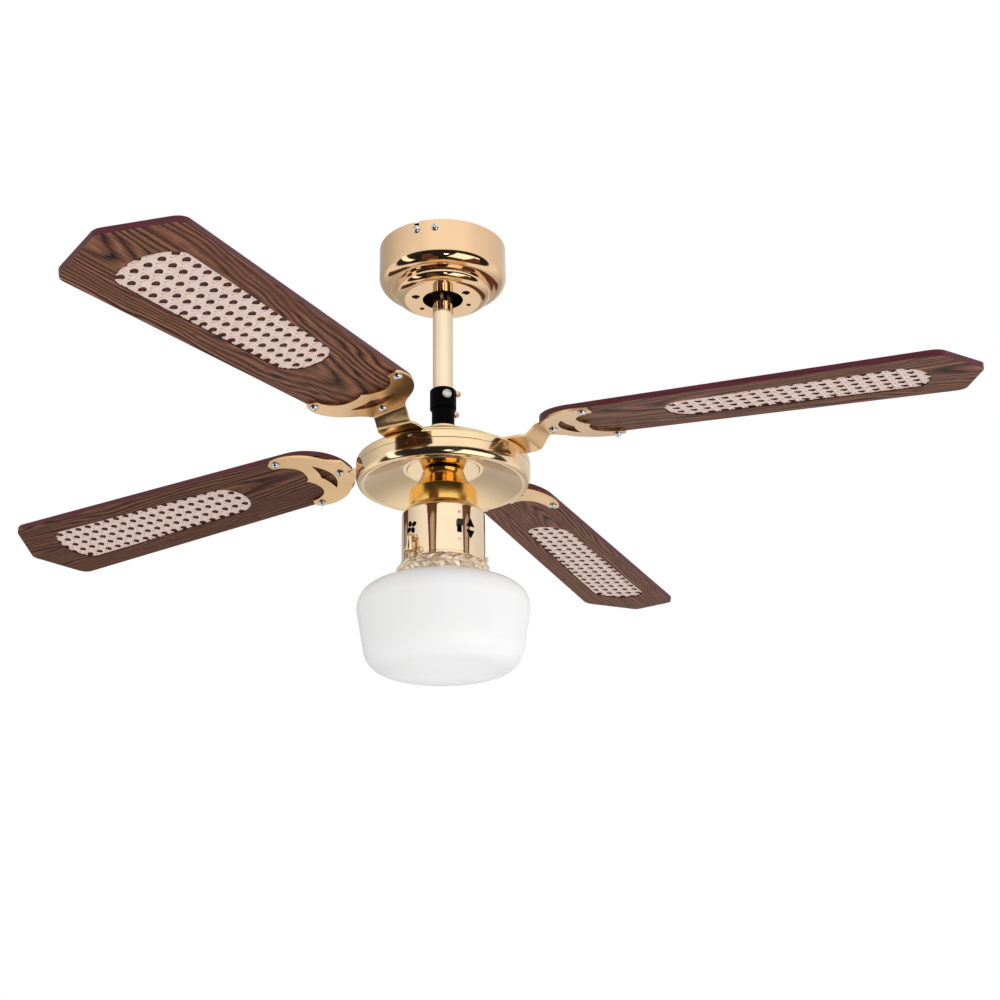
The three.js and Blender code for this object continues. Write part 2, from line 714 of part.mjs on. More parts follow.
function bladeGeometry() {
  const pilots = bladeScrewPlaces.map(([u, v]) => (
    cylinder(bladeScrewRadius + seatGap, -1, bladeScrewBite + seatGap, 8).translate(u, v, 0)
  ));
  return cut(
    prism(bladeShape(), 0, bladeThickness, 5), prism(caneShape(seatGap), -1, caneRecess, 5),
    ...pilots,
  );
}

function canePanelGeometry() {
  const top = caneRecess - seatGap;
  return prism(caneShape(0), top - canePanelThickness, top, 5);
}

function bladeScrewGeometry() {
  const seat = -ironThickness - 2 * seatGap;
  return turned([
    [0, seat - 2.4], [2.6, seat - 1.8], [bladeScrewHead, seat],
    [bladeScrewRadius, seat], [bladeScrewRadius, bladeScrewBite], [0, bladeScrewBite],
  ], 8);
}

// Plan of a blade iron: a flared foot on the flange, a neck, and two arms like spread wings whose
// outer edge is a double scallop with a cusp on the centreline.
function ironShape() {
  const neck = ironNeckWidth / 2;
  const foot = ironFootWidth / 2;
  const footInner = crownRadius + 3;
  const armEnd = ironArmRadius + 8;
  const scallop = ironArmRadius - 16;
  const outer = ironArmSpread + 7;
  const half = [
    ['M', footInner, 0], ['L', footInner, foot * 0.55],
    ['Q', footInner + 1, foot * 0.85, footInner + 10, foot],
    ['Q', footInner + 17, foot, ironInnerBend - 6, neck + 3],
    ['Q', ironInnerBend - 1, neck, ironInnerBend + 3, neck],
    ['L', ironOuterBend - 1, neck],
    ['Q', ironHeelScrewRadius - 4, neck + 4, ironHeelScrewRadius + 3, neck + 13],
    ['Q', ironHeelScrewRadius + 18, outer - 2, ironArmRadius - 10, outer],
    ['Q', armEnd, outer, armEnd, ironArmSpread],
    ['Q', armEnd, ironArmSpread - 9, ironArmRadius + 2, ironArmSpread - 7.5],
    ['Q', scallop - 2, ironArmSpread - 14, scallop - 1, 16],
    ['Q', scallop, 4, scallop + 6, 0],
  ];
  return mirroredShape(half);
}

// The crescent opening between the cusp and the screw near the neck.
function crescentShape() {
  const inner = ironHeelScrewRadius + 8;
  const outer = ironArmRadius - 29;
  return mirroredShape([
    ['M', inner, 0], ['Q', inner + 0.5, 14, outer - 2, 25], ['Q', outer - 3, 9, outer + 1.5, 0],
  ]);
}

// A shape from the half on one side of the X axis, which starts and ends on that axis.
function mirroredShape(half) {
  const shape = new THREE.Shape();
  half.forEach(([kind, ...at]) => {
    if (kind === 'M') shape.moveTo(...at);
    if (kind === 'L') shape.lineTo(...at);
    if (kind === 'Q') shape.quadraticCurveTo(...at);
  });
  for (let i = half.length - 1; i > 0; i--) {
    const [kind, ...at] = half[i];
    const end = half[i - 1].slice(-2);
    if (kind === 'L') shape.lineTo(end[0], -end[1]);
    if (kind === 'Q') shape.quadraticCurveTo(at[0], -at[1], end[0], -end[1]);
  }
  return shape;
}

// Turns the iron's plate about the drooping axis of its blade: not at all on the foot, and by the
// full pitch beyond the outer bend.
function pitched(geometry) {
  const droop = degrees(bladeDroop);
  const axis = new THREE.Vector3(Math.cos(droop), 0, -Math.sin(droop));
  const pivot = new THREE.Vector3(0, 0, bladePivot);
  const position = geometry.attributes.position;
  const corner = new THREE.Vector3();
  for (let i = 0; i < position.count; i++) {
    corner.fromBufferAttribute(position, i);
    const share = THREE.MathUtils.clamp(
      (corner.x - ironInnerBend) / (ironOuterBend - ironInnerBend), 0, 1);
    corner.sub(pivot).applyAxisAngle(axis, share * degrees(bladePitch)).add(pivot);
    position.setXYZ(i, corner.x, corner.y, corner.z);
  }
  geometry.computeVertexNormals();
  return geometry;
}

function ironGeometry() {
  const droop = degrees(bladeDroop);
  const plateTop = (x) => bladePivot - x * Math.tan(droop) - seatGap;
  const end = ironArmRadius + 20;
  const footBottom = flange + seatGap;
  const strip = new THREE.Shape();
  const side = [
    [crownRadius, footBottom], [ironInnerBend, footBottom],
    [ironOuterBend, plateTop(ironOuterBend) - ironThickness], [end, plateTop(end) - ironThickness],
    [end, plateTop(end)], [ironOuterBend - 1.5, plateTop(ironOuterBend - 1.5)],
    [ironInnerBend - 1.5, footBottom + ironThickness], [crownRadius, footBottom + ironThickness],
  ];
  side.forEach(([u, z], i) => (i ? strip.lineTo(u, z) : strip.moveTo(u, z)));
  const width = 3 * ironArmSpread;
  const bent = new THREE.ExtrudeGeometry(strip, { depth: width, bevelEnabled: false })
    .translate(0, 0, -width / 2).rotateX(Math.PI / 2);
  const [low, high] = [flange - width / 2, flange + width / 2];
  const holes = bladeScrewPlaces.map(([u, v]) => (
    cylinder(bladeScrewRadius + 2 * seatGap, low, high, 8).translate(u * Math.cos(droop), v, 0)
  ));
  const plan = cut(prism(ironShape(), low, high, 3), prism(crescentShape(), low, high, 4), ...holes);
  return pitched(common(bent, plan));
}

for (let i = 0; i < bladeCount; i++) {
  const arm = group(rotor);
  arm.rotation.z = degrees(firstBladeAzimuth) + 2 * Math.PI * i / bladeCount;
  piece(arm, `blade_iron_${i + 1}`, ironGeometry(), polishedBrass);
  const drooping = group(arm);
  drooping.position.z = bladePivot;
  drooping.rotation.y = degrees(bladeDroop);
  const pitching = group(drooping);
  pitching.rotation.x = degrees(bladePitch);
  piece(pitching, `blade_${i + 1}`, bladeGeometry(), walnut);
  piece(pitching, `cane_panel_${i + 1}`, canePanelGeometry(), cane);
  bladeScrewPlaces.forEach(([u, v], j) => {
    piece(pitching, `blade_screw_${i + 1}_${j + 1}`, bladeScrewGeometry().translate(u, v, 0), chrome);
  });
}

// ---- Switch housing ----------------------------------------------------------------------------

const reverseLevel = cupTop - reverseDrop;
const pullLevel = cupTop - pullDrop;
const chainRadius = cupRadius + bellRadius + 0.6;
const bellNeck = outletRadius + 0.4;
const chainBore = chainBead + 0.8;

// The neck flares like a trumpet from its top and ends in a straight skirt on the cup.
function neckGeometry() {
  const flare = new THREE.CubicBezierCurve(
    new THREE.Vector2(neckTopRadius, neckTop - coverSheet),
    new THREE.Vector2(neckTopRadius + 1.5, neckTop - neckFlare * 0.43),
    new THREE.Vector2(neckSkirtRadius - 6.5, skirtTop + neckFlare * 0.3),
    new THREE.Vector2(neckSkirtRadius, skirtTop),
  ).getPoints(4).map(({ x, y }) => [x, y]);
  flare.push([neckSkirtRadius, cupTop + seatGap]);
  const inside = flare.map(([r, z]) => [r - coverSheet, z]).reverse();
  inside[1][1] -= coverSheet;
  inside[inside.length - 1][1] -= coverSheet;
  const bore = shaftRadius + seatGap;
  return turned([
    [bore, neckTop], [neckTopRadius - coverSheet, neckTop], ...flare, ...inside,
    [bore, neckTop - coverSheet],
  ]);
}

function cupGeometry() {
  const bore = shaftRadius + seatGap;
  const shell = turned([
    [bore, cupTop], [cupRadius - cupEdgeRound, cupTop],
    ...quarterRound([cupRadius, cupTop - cupEdgeRound], [cupRadius - cupEdgeRound, cupTop])
      .reverse().slice(1),
    [cupRadius, cupBottom], [cupInside, cupBottom],
    ...quarterRound(
      [cupInside, cupTop - cupEdgeRound], [cupRadius - cupEdgeRound, cupTop - coverSheet]),
    [bore, cupTop - coverSheet],
  ]);
  const reverseSlot = box(
    cupInside - 4, cupRadius + 4, -reverseSlotWidth / 2, reverseSlotWidth / 2,
    reverseLevel - reverseSlotHeight / 2, reverseLevel + reverseSlotHeight / 2,
  ).rotateZ(degrees(reverseAzimuth));
  const outlets = [fanPullAzimuth, lightPullAzimuth].map((azimuth) => (
    bar(outletRadius + seatGap, cupInside - 4, cupRadius + 4)
      .rotateZ(degrees(azimuth)).translate(0, 0, pullLevel)
  ));
  return cut(shell, reverseSlot, ...outlets);
}

const reverseFace = cupInside * Math.cos(Math.asin((reverseSlotWidth + 4) / cupInside)) - 0.8;
const sliderThickness = 2;

// The switch body stands behind the wall with a channel in which the slider runs.
function reverseSwitchGeometry() {
  const halfHeight = reverseSlotHeight / 2 + 9;
  const body = box(
    reverseFace - 13, reverseFace, -reverseSlotWidth / 2 - 4, reverseSlotWidth / 2 + 4,
    reverseLevel - halfHeight, reverseLevel + halfHeight,
  );
  const channel = box(
    reverseFace - sliderThickness - 1, reverseFace + 1,
    -reverseSlotWidth / 2 - 0.5, reverseSlotWidth / 2 + 0.5,
    reverseLevel - reverseSlotHeight / 2 - 1, reverseLevel + reverseSlotHeight / 2 + 1,
  );
  return cut(body, channel).rotateZ(degrees(reverseAzimuth));
}

// The slider rests at the top of its slot. Its knob is wider than the slot and stands outside.
function reverseSliderGeometry() {
  const top = reverseLevel + reverseSlotHeight / 2 - seatGap;
  const bottom = top - knobHeight;
  const shank = reverseSlotWidth / 2 - 0.3;
  const outside = cupRadius + 0.4;
  return join(
    box(reverseFace - sliderThickness - 0.5, outside + 1, -shank, shank, bottom + 0.6, top - 0.6),
    box(outside, outside + knobStandOut, -knobWidth / 2, knobWidth / 2, bottom, top),
  ).rotateZ(degrees(reverseAzimuth));
}

// A pull switch with its outlet: a nipple through the cup that carries a bell, open at the bottom,
// out of which the chain hangs.
function pullSwitchGeometry(azimuth) {
  const front = cupInside - 4;
  const top = outletRadius + 0.6;
  const bell = turned([
    [0, top], [bellNeck - 1, top], [bellNeck, -outletRadius], [bellRadius * 0.75, 5 - bellHeight],
    [bellRadius, top - bellHeight], [bellRadius - bellWall, top - bellHeight],
    [bellRadius * 0.75 - bellWall, 5 - bellHeight], [chainBore, -outletRadius], [chainBore, 1],
    [0, 1],
  ], 14).translate(chainRadius, 0, 0);
  const bore = cylinder(chainBore, -outletRadius - 1, 1, 14).translate(chainRadius, 0, 0);
  const outlet = cut(join(bar(outletRadius, front - 1, chainRadius), bell), bore);
  return join(box(front - 16, front, -9, 9, -10, 10), outlet)
    .rotateZ(degrees(azimuth)).translate(0, 0, pullLevel);
}

// A bead chain that hangs inside its outlet's bell and ends in a larger bead below it.
function pullChainGeometry(azimuth) {
  const top = 1 - seatGap;
  const beadPitch = 2 * chainBead + 0.7;
  const beads = Math.floor(chainLength / beadPitch);
  const endTop = top - beads * beadPitch;
  const link = 0.5;
  const profile = [[0, top]];
  for (let i = 0; i < beads; i++) {
    const centre = top - chainBead - i * beadPitch;
    profile.push([chainBead, centre], [link, centre - beadPitch / 2]);
  }
  profile.push([chainEndRadius, endTop - chainEndRadius], [0, endTop - 2 * chainEndRadius]);
  return turned(profile, 8).translate(chainRadius, 0, 0)
    .rotateZ(degrees(azimuth)).translate(0, 0, pullLevel);
}

function capacitorGeometry() {
  const middle = (fanPullAzimuth + lightPullAzimuth) / 2;
  const top = cupTop - coverSheet - seatGap;
  return box(
    capacitorOffset, capacitorOffset + capacitorDepth, -capacitorWidth / 2, capacitorWidth / 2,
    top - capacitorHeight, top,
  ).rotateZ(degrees(middle));
}

piece(hanging, 'switch_housing_neck', neckGeometry(), polishedBrass);
piece(hanging, 'switch_housing', cupGeometry(), polishedBrass);
piece(hanging, 'reverse_switch_body', reverseSwitchGeometry(), blackPlastic);
piece(hanging, 'fan_pull_switch', pullSwitchGeometry(fanPullAzimuth), blackPlastic);
piece(hanging, 'light_pull_switch', pullSwitchGeometry(lightPullAzimuth), blackPlastic);
piece(hanging, 'motor_capacitor', capacitorGeometry(), greyPlastic);
piece(group(fan), 'reverse_slider', reverseSliderGeometry(), blackPlastic);
piece(group(fan), 'fan_pull_chain', pullChainGeometry(fanPullAzimuth), polishedBrass);
piece(group(fan), 'light_pull_chain', pullChainGeometry(lightPullAzimuth), polishedBrass);

// ---- Light -------------------------------------------------------------------------------------

const ringBore = ringFootRadius - ringWall;
const shadeNeckRadius = ringBore - 0.5;
const holderTop = webTop + 12;
const holderBottom = holderTop - holderHeight;
const socketRadius = holderRadius - 5.2;

function fitterRingGeometry() {
  const spigot = cupInside - seatGap;
  const holderHole = holderRadius + seatGap;
  return turned([
    [holderHole, webBottom], [Math.min(ringBore, cupRadius - 1.5), webBottom],
    [ringBore, webBottom - 4], [ringBore, ringBottom], [ringFootRadius, ringBottom],
    [ringFootRadius, ringBottom + 5], [ringFootRadius - 1.2, ringTop - 5],
    [cupRadius + 0.6, ringTop - 1.5], [cupRadius, ringTop], [spigot, ringTop],
    [spigot, ringTop + spigotHeight], [spigot - coverSheet, ringTop + spigotHeight],
    [spigot - coverSheet, webTop], [holderHole, webTop],
  ]);
}

function lampHolderGeometry() {
  const flangeTop = webBottom - seatGap;
  const flangeBottom = flangeTop - 2.4;
  return turned([
    [socketRadius, holderBottom], [holderRadius, holderBottom], [holderRadius, flangeBottom],
    [holderRadius + 3.5, flangeBottom], [holderRadius + 3.5, flangeTop],
    [holderRadius, flangeTop], [holderRadius, holderTop],
    [0, holderTop], [0, holderTop - 3], [socketRadius, holderTop - 3],
  ], roundMedium);
}

function bulbGeometry() {
  const capRadius = socketRadius - 0.5;
  const capTop = holderTop - 3 - seatGap;
  const globeCentre = capTop - bulbLength + bulbRadius;
  const start = Math.acos((capRadius + 1.5) / bulbRadius);
  const steps = 7;
  const globe = [];
  for (let i = 0; i <= steps; i++) {
    const angle = start - (i / steps) * (start + Math.PI / 2);
    globe.push([
      Math.max(bulbRadius * Math.cos(angle), 0), globeCentre + bulbRadius * Math.sin(angle)]);
  }
  globe[steps][0] = 0;
  return turned([
    [0, capTop], [capRadius - 4, capTop], [capRadius, capTop - 3],
    [capRadius, holderBottom - 1], ...globe,
  ], roundMedium);
}

function shadeGeometry() {
  const rimTop = webBottom - seatGap - 4.5;
  const neckEnd = ringBottom - 1.2;
  const widest = ringBottom - shadeShoulder;
  const bottom = ringBottom - shadeHeight;
  const lowerEdge = bottom + shadeEdge;
  const lowerRadius = shadeRadius - shadeTaper;
  const path = new THREE.Path();
  path.moveTo(shadeNeckRadius, neckEnd);
  path.quadraticCurveTo(shadeNeckRadius + 1, neckEnd - 1.8, shadeNeckRadius + 8, neckEnd - 2.4);
  path.bezierCurveTo(
    shadeRadius - 14, neckEnd - 3.5, shadeRadius, neckEnd - 10, shadeRadius, widest);
  path.lineTo(lowerRadius, lowerEdge);
  path.bezierCurveTo(
    lowerRadius - 3, bottom + 12, lowerRadius - 13, bottom + 7.5, lowerRadius - 24, bottom + 5.5);
  path.quadraticCurveTo(lowerRadius * 0.35, bottom, 0, bottom);
  const outside = [[shadeNeckRadius, rimTop], ...path.getPoints(3).map(({ x, y }) => [x, y])];
  const inside = offsetProfile(outside, -shadeWall);
  inside[0] = [shadeNeckRadius - shadeWall, rimTop];
  inside[inside.length - 1] = [0, bottom + shadeWall];
  return turned([...outside, ...inside.reverse()]);
}

piece(hanging, 'fitter_ring', fitterRingGeometry(), polishedBrass);
piece(hanging, 'lamp_holder', lampHolderGeometry(), porcelain);
piece(hanging, 'bulb', bulbGeometry(), frostedGlass);
piece(hanging, 'shade', shadeGeometry(), opalGlass);

export default fan;
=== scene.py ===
"""Ceiling fan with light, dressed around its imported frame.

Lengths are in millimetres while a piece is being made and become metres when its mesh is made.
Every piece takes its place from the frame: turned pieces from the box of the node they stand for,
and the blades, their cane and their irons from the directions of their own nodes.
"""
import json
import math

import bmesh
import bpy
import numpy as np
from mathutils import Matrix, Vector
from mathutils.geometry import tessellate_polygon

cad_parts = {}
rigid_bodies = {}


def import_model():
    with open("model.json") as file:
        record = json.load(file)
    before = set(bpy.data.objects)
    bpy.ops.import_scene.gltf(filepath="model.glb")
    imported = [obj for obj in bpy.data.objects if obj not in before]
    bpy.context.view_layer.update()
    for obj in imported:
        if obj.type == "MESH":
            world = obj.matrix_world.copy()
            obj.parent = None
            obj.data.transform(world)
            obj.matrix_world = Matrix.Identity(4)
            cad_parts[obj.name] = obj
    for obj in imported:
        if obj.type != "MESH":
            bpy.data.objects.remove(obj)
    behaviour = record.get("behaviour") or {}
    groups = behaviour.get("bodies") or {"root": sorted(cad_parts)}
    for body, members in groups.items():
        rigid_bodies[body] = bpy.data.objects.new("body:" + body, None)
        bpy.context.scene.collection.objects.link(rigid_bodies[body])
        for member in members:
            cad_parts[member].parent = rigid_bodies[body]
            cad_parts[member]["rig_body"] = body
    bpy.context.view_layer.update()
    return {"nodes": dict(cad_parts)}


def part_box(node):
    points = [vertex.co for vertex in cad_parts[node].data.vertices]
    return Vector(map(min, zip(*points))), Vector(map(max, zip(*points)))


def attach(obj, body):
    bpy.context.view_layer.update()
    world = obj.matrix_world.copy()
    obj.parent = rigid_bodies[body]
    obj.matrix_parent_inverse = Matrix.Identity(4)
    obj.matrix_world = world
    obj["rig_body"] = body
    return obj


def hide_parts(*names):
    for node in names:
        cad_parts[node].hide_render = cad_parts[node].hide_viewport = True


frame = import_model()

MM = 0.001
BLADES = range(1, 5)

# ---- Sizes that the frame's boxes don't give ----

SHEET = 1.5                    # thickness of the pressed brass covers
SEAT_GAP = 0.3                 # left between two pieces that touch
RUNNING_GAP = 1.6              # left round the shaft and the coupling where a cover turns
CANOPY_ROUND = 13              # height of the round that ends the canopy's wall
CANOPY_STEP_RADIUS = 50
CANOPY_STEP_DEPTH = 12
CANOPY_STEP_WALL = 4           # straight wall of that step above its round
CANOPY_FLAT_RADIUS = 38
CANOPY_HOLE_RADIUS = 21
CANOPY_VENT_RADIUS = 29
CANOPY_VENT_TURN = 5           # the vents from the bracket, degrees
CANOPY_VENTS = {-66: 4.2, 66: 4.2, -121: 2.7, 121: 2.7}    # radius of the vent at each angle
CANOPY_SCREW_SPREAD = 17       # angle between the two screws of one ear, degrees
ROD_WALL = 1.8
CLEVIS_BOLT_RADIUS = 2.6
COUPLING_NECK_RADIUS = 11.6
CROWN_RADIUS = 66              # raised middle of the upper motor cover
CROWN_DROP = 22                # from the collar down to the crown's shoulder
CROWN_EDGE = 6
COLLAR_RADIUS = 17
FLANGE_ROUND = 4
BOTTOM_RIM_RADIUS = 82
BOTTOM_HOLLOW = 16.5           # how far the underside is drawn up inside its rim
BOTTOM_DISC_RADIUS = 35
NECK_TOP_RADIUS = 21
NECK_SKIRT_RADIUS = 34
NECK_FLARE = 22                # from the neck's top down to its straight skirt
CUP_EDGE = 8.5
REVERSE_DROP = 30              # from the cup's top to the middle of the reversing slot
PULL_DROP = 39                 # from the cup's top to the pull switches' outlets
PULL_REACH = 6.1               # from the cup's wall out to a hanging chain
RING_WALL = 2.6
HOLDER_RADIUS = 19.6           # the lamp holder where it passes through the ring
RING_SCREW_ANGLE = 236.8       # direction of the first of the ring's three screws, degrees
GARLAND_DROP = 7.6             # from the ring's top to the garland's stem
GLASS_GAP = 0.5                # between the glass and the ring round its neck
GLASS_WALL = 3
LEAF_TIP = 0.25                # half the width of a leaf's end
LEAF_PAIRS = 18
BLADE_HEEL_ROUND = 48
BLADE_HEEL_WIDTH = 97
BLADE_TIP_WIDTH = 119
BLADE_TIP_POINT = 27
BLADE_CORNER_ROUND = 9
CANE_RECESS = 2.3
CANE_BORDER = 25.2
CANE_HEEL_ROUND = 23
CANE_TIP_ROUND = 16
CANE_PITCH = 13
CANE_FIRST_KNOT = (464.5, 6.5)     # a crossing of the straight strands, from the fan's axis
STRAND_WIDTH = 2.7
PAIR_SPREAD = 1.55             # from the middle of a pair to each of its strands
IRON_THICKNESS = 2.5
IRON_NECK_WIDTH = 35
IRON_FOOT_WIDTH = 43
IRON_FOOT_SCREW = (77, 9)      # from the fan's axis, and to each side
IRON_ARM_SPREAD = 45
IRON_ARM_RADIUS = 172
IRON_HEEL_SCREW_RADIUS = 122
IRON_INNER_BEND = 101
IRON_OUTER_BEND = 110
VIEW_ANGLES = (2.238, 20.76, -0.95)    # the camera's yaw, pitch and roll, degrees
VIEW_PLACE = (0, -1447, -831.3)
VIEW_LENS = 55.8
FLOOR_LEVEL = -2400
FLOOR_RADIUS = 8000

# ---- Points and outlines ----


def corners(node):
    """Lowest and highest corner of a CAD node, in millimetres."""
    low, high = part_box(node)
    return low / MM, high / MM


def radius_of(node):
    low, high = corners(node)
    return (high.x - low.x) / 2


def level_of(node):
    """Height of the middle of a node."""
    low, high = corners(node)
    return (low.z + high.z) / 2


def azimuth_of(node):
    """Direction in which a node lies from the fan's axis, in radians."""
    low, high = corners(node)
    return math.atan2(low.y + high.y, low.x + high.x)


def bezier(start, *controls, steps=10):
    """Points of a Bezier curve of any degree, without its first point."""
    points = []
    for i in range(1, steps + 1):
        t = i / steps
        level = [Vector(p) for p in (start, *controls)]
        while len(level) > 1:
            level = [a.lerp(b, t) for a, b in zip(level, level[1:])]
        points.append(tuple(level[0]))
    return points


def outline(start, *parts, steps=10):
    """A line of points from parts that each hold the control points of one curve, or one end point."""
    points = [tuple(start)]
    for part in parts:
        points += bezier(points[-1], *part, steps=1 if len(part) == 1 else steps)
    return points


def arc(centre, radii, start, end, steps):
    """Points of an elliptical arc between two angles in degrees."""
    angles = [math.radians(start + (end - start) * i / steps) for i in range(steps + 1)]
    return [(centre[0] + radii[0] * math.cos(a), centre[1] + radii[1] * math.sin(a)) for a in angles]


def quarter_round(start, end, steps=10):
    """A quarter of an ellipse that leaves start straight up or down and reaches end level."""
    span = (start[0] - end[0], end[1] - start[1])
    angles = [math.pi / 2 * i / steps for i in range(steps + 1)]
    return [(end[0] + span[0] * math.cos(a), start[1] + span[1] * math.sin(a)) for a in angles]


def mirrored(half):
    """A closed loop from its half on one side of the X axis."""
    return half + [(x, -y) for x, y in half[-2:0:-1]]


def eased(profile, radius=0.35, steps=3, turn=25):
    """A closed profile with its sharp corners rounded, except on the axis."""
    points = [Vector(p) for i, p in enumerate(profile) if (Vector(p) - Vector(profile[i - 1])).length > 1e-4]
    result = []
    for i, here in enumerate(points):
        before, after = points[i - 1] - here, points[(i + 1) % len(points)] - here
        sharp = before.length > 0 and after.length > 0 and before.angle(-after) > math.radians(turn)
        if not sharp or here.x < 1e-6:
            result.append(tuple(here))
            continue
        reach = min(radius, 0.45 * before.length, 0.45 * after.length)
        first, last = here + before.normalized() * reach, here + after.normalized() * reach
        result += [tuple(first), *bezier(first, here, last, steps=steps)]
    return result


def smooth_share(value, start, end):
    t = min(max((value - start) / (end - start), 0), 1)
    return t * t * (3 - 2 * t)


def about_z(angle):
    return Matrix.Rotation(angle, 4, "Z")


def aimed(azimuth, distance=0.0, height=0.0):
    """Lays the Z axis along a horizontal direction, at a distance from the fan's axis and a height."""
    return about_z(azimuth) @ Matrix.Translation((distance, 0, height)) @ Matrix.Rotation(math.pi / 2, 4, "Y")


# ---- Meshes ----


def skin(bm, rings, capped=False, material=0):
    """Faces between rings of vertices that follow each other, and over both ends if capped."""
    for lower, upper in zip(rings, rings[1:]):
        for i, _ in enumerate(lower):
            j = (i + 1) % len(lower)
            loop = list(dict.fromkeys((lower[i], lower[j], upper[j], upper[i])))
            if len(loop) > 2:
                bm.faces.new(loop).material_index = material
    if capped:
        bm.faces.new(rings[0][::-1])
        bm.faces.new(rings[-1])


def turned_bmesh(profile, facets=144):
    """A closed profile of (radius, height) turned about the Z axis."""
    bm = bmesh.new()
    angles = [2 * math.pi * i / facets for i in range(facets)]
    rings = []
    for r, z in profile:
        if r < 1e-6:
            rings.append([bm.verts.new((0, 0, z))] * facets)
        else:
            rings.append([bm.verts.new((r * math.cos(a), r * math.sin(a), z)) for a in angles])
    skin(bm, rings + rings[:1])
    return bm


def plate_bmesh(outer, holes=(), bottom=0.0, top=1.0, pocket=None):
    """A flat plate with holes, and a pocket (its loop and depth) sunk into its underside.

    Its faces take material 0, its edges 1 and the pocket 2.
    """
    bm = bmesh.new()
    loops = [outer, *holes]

    def ring_at(loop, z):
        return [bm.verts.new((x, y, z)) for x, y in loop]

    def fill(rings, material=0):
        verts = [v for ring in rings for v in ring]
        for triangle in tessellate_polygon([[v.co.copy() for v in ring] for ring in rings]):
            bm.faces.new([verts[i] for i in triangle]).material_index = material

    low = [ring_at(loop, bottom) for loop in loops]
    high = [ring_at(loop, top) for loop in loops]
    for rings in zip(low, high):
        skin(bm, rings, material=1)
    under = list(low)
    if pocket:
        loop, depth = pocket
        mouth, floor = ring_at(loop, bottom), ring_at(loop, bottom + depth)
        skin(bm, (mouth, floor), material=2)
        fill([floor], 2)
        under.append(mouth)
    fill(under)
    fill(high)
    return bm


def sliced(bm, places):
    """Cuts a mesh across the X axis at each place, so that it can bend there."""
    for place in places:
        bmesh.ops.bisect_plane(
            bm, geom=bm.verts[:] + bm.edges[:] + bm.faces[:], plane_co=(place, 0, 0), plane_no=(1, 0, 0))
    return bm


def rod_bmesh(radius, start, end, facets=24, crown=0.4):
    """A round bar along Z with rounded ends."""
    return turned_bmesh([(0, start), (radius - crown, start), (radius, start + crown), (radius, end - crown),
                         (radius - crown, end), (0, end)], facets)


def block_bmesh(size, centre=(0, 0, 0), edge=0.5, segments=2):
    """A box with rounded edges."""
    bm = bmesh.new()
    bmesh.ops.create_cube(bm, size=1)
    bmesh.ops.scale(bm, vec=size, verts=bm.verts)
    bmesh.ops.bevel(bm, geom=bm.edges[:], offset=edge, segments=segments, affect="EDGES", profile=0.5)
    bmesh.ops.translate(bm, vec=centre, verts=bm.verts)
    return bm


def transformed(bm, matrix):
    bm.transform(matrix)
    return bm


def merged(*parts):
    """One bmesh that holds several."""
    whole = bmesh.new()
    for part in parts:
        holder = bpy.data.meshes.new("part")
        part.to_mesh(holder)
        part.free()
        whole.from_mesh(holder)
        bpy.data.meshes.remove(holder)
    return whole


def mesh_from(bm, name, sharp=30, place=None):
    """A mesh in metres from a bmesh in millimetres, smooth up to an angle in degrees.

    A place moves the mesh after its own coordinates have been kept as "grain" for its material.
    """
    bmesh.ops.remove_doubles(bm, verts=bm.verts, dist=1e-4)
    bmesh.ops.recalc_face_normals(bm, faces=bm.faces)
    if place is not None:
        grain = bm.verts.layers.float_vector.new("grain")
        for v in bm.verts:
            v[grain] = v.co * MM
        bm.transform(place)
    bmesh.ops.scale(bm, vec=(MM, MM, MM), verts=bm.verts)
    mesh = bpy.data.meshes.new(name)
    bm.to_mesh(mesh)
    bm.free()
    mesh.polygons.foreach_set("use_smooth", [True] * len(mesh.polygons))
    mesh.set_sharp_from_angle(angle=math.radians(sharp))
    return mesh


# ---- Pieces ----


def in_scene(name, data):
    made = bpy.data.objects.new(name, data)
    bpy.context.scene.collection.objects.link(made)
    return made


def new_piece(name, mesh, node, material, body=None, place=None, slot=None):
    """A piece that stands for a CAD node and rides on its body, or an extra that rides on a body. Its slot is
    not used.
    """
    piece = in_scene(name, mesh)
    if place is not None:
        piece.matrix_world = place
    for each in material if isinstance(material, list) else [material]:
        mesh.materials.append(each)
    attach(piece, body or frame["nodes"][node]["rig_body"])
    if node:
        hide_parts(node)
    return piece


def even_shading(piece):
    """Keeps flat and gently curved faces from being shaded by the small rounds beside them."""
    piece.modifiers.new("even_shading", "WEIGHTED_NORMAL").keep_sharp = True
    return piece


def eased_edges(piece, width, angle=50):
    """Rounds the edges of a piece that turn by more than an angle in degrees."""
    bevel = piece.modifiers.new("eased_edges", "BEVEL")
    bevel.width, bevel.segments, bevel.limit_method = width * MM, 2, "ANGLE"
    bevel.angle_limit = math.radians(angle)
    return piece


def drilled(piece, *cutters):
    """Cuts bmesh tools, which are in millimetres from the frame's origin, out of a piece."""
    tool = in_scene("tool", mesh_from(merged(*cutters), "tool"))
    cut = piece.modifiers.new("cut", "BOOLEAN")
    cut.operation, cut.object, cut.solver, cut.use_self = "DIFFERENCE", tool, "EXACT", True
    graph = bpy.context.evaluated_depsgraph_get()
    mesh = bpy.data.meshes.new_from_object(piece.evaluated_get(graph))
    piece.modifiers.remove(cut)
    old, piece.data = piece.data, mesh
    bpy.data.meshes.remove(old)
    bpy.data.objects.remove(tool)
    mesh.set_sharp_from_angle(angle=math.radians(30))
    return piece


def turned_piece(name, profile, node, material, facets=144, cutters=()):
    """A turned piece with the cutters, if there are any, cut out of it."""
    piece = new_piece(name, mesh_from(turned_bmesh(eased(profile), facets), name), node, material)
    return even_shading(drilled(piece, *cutters) if cutters else piece)


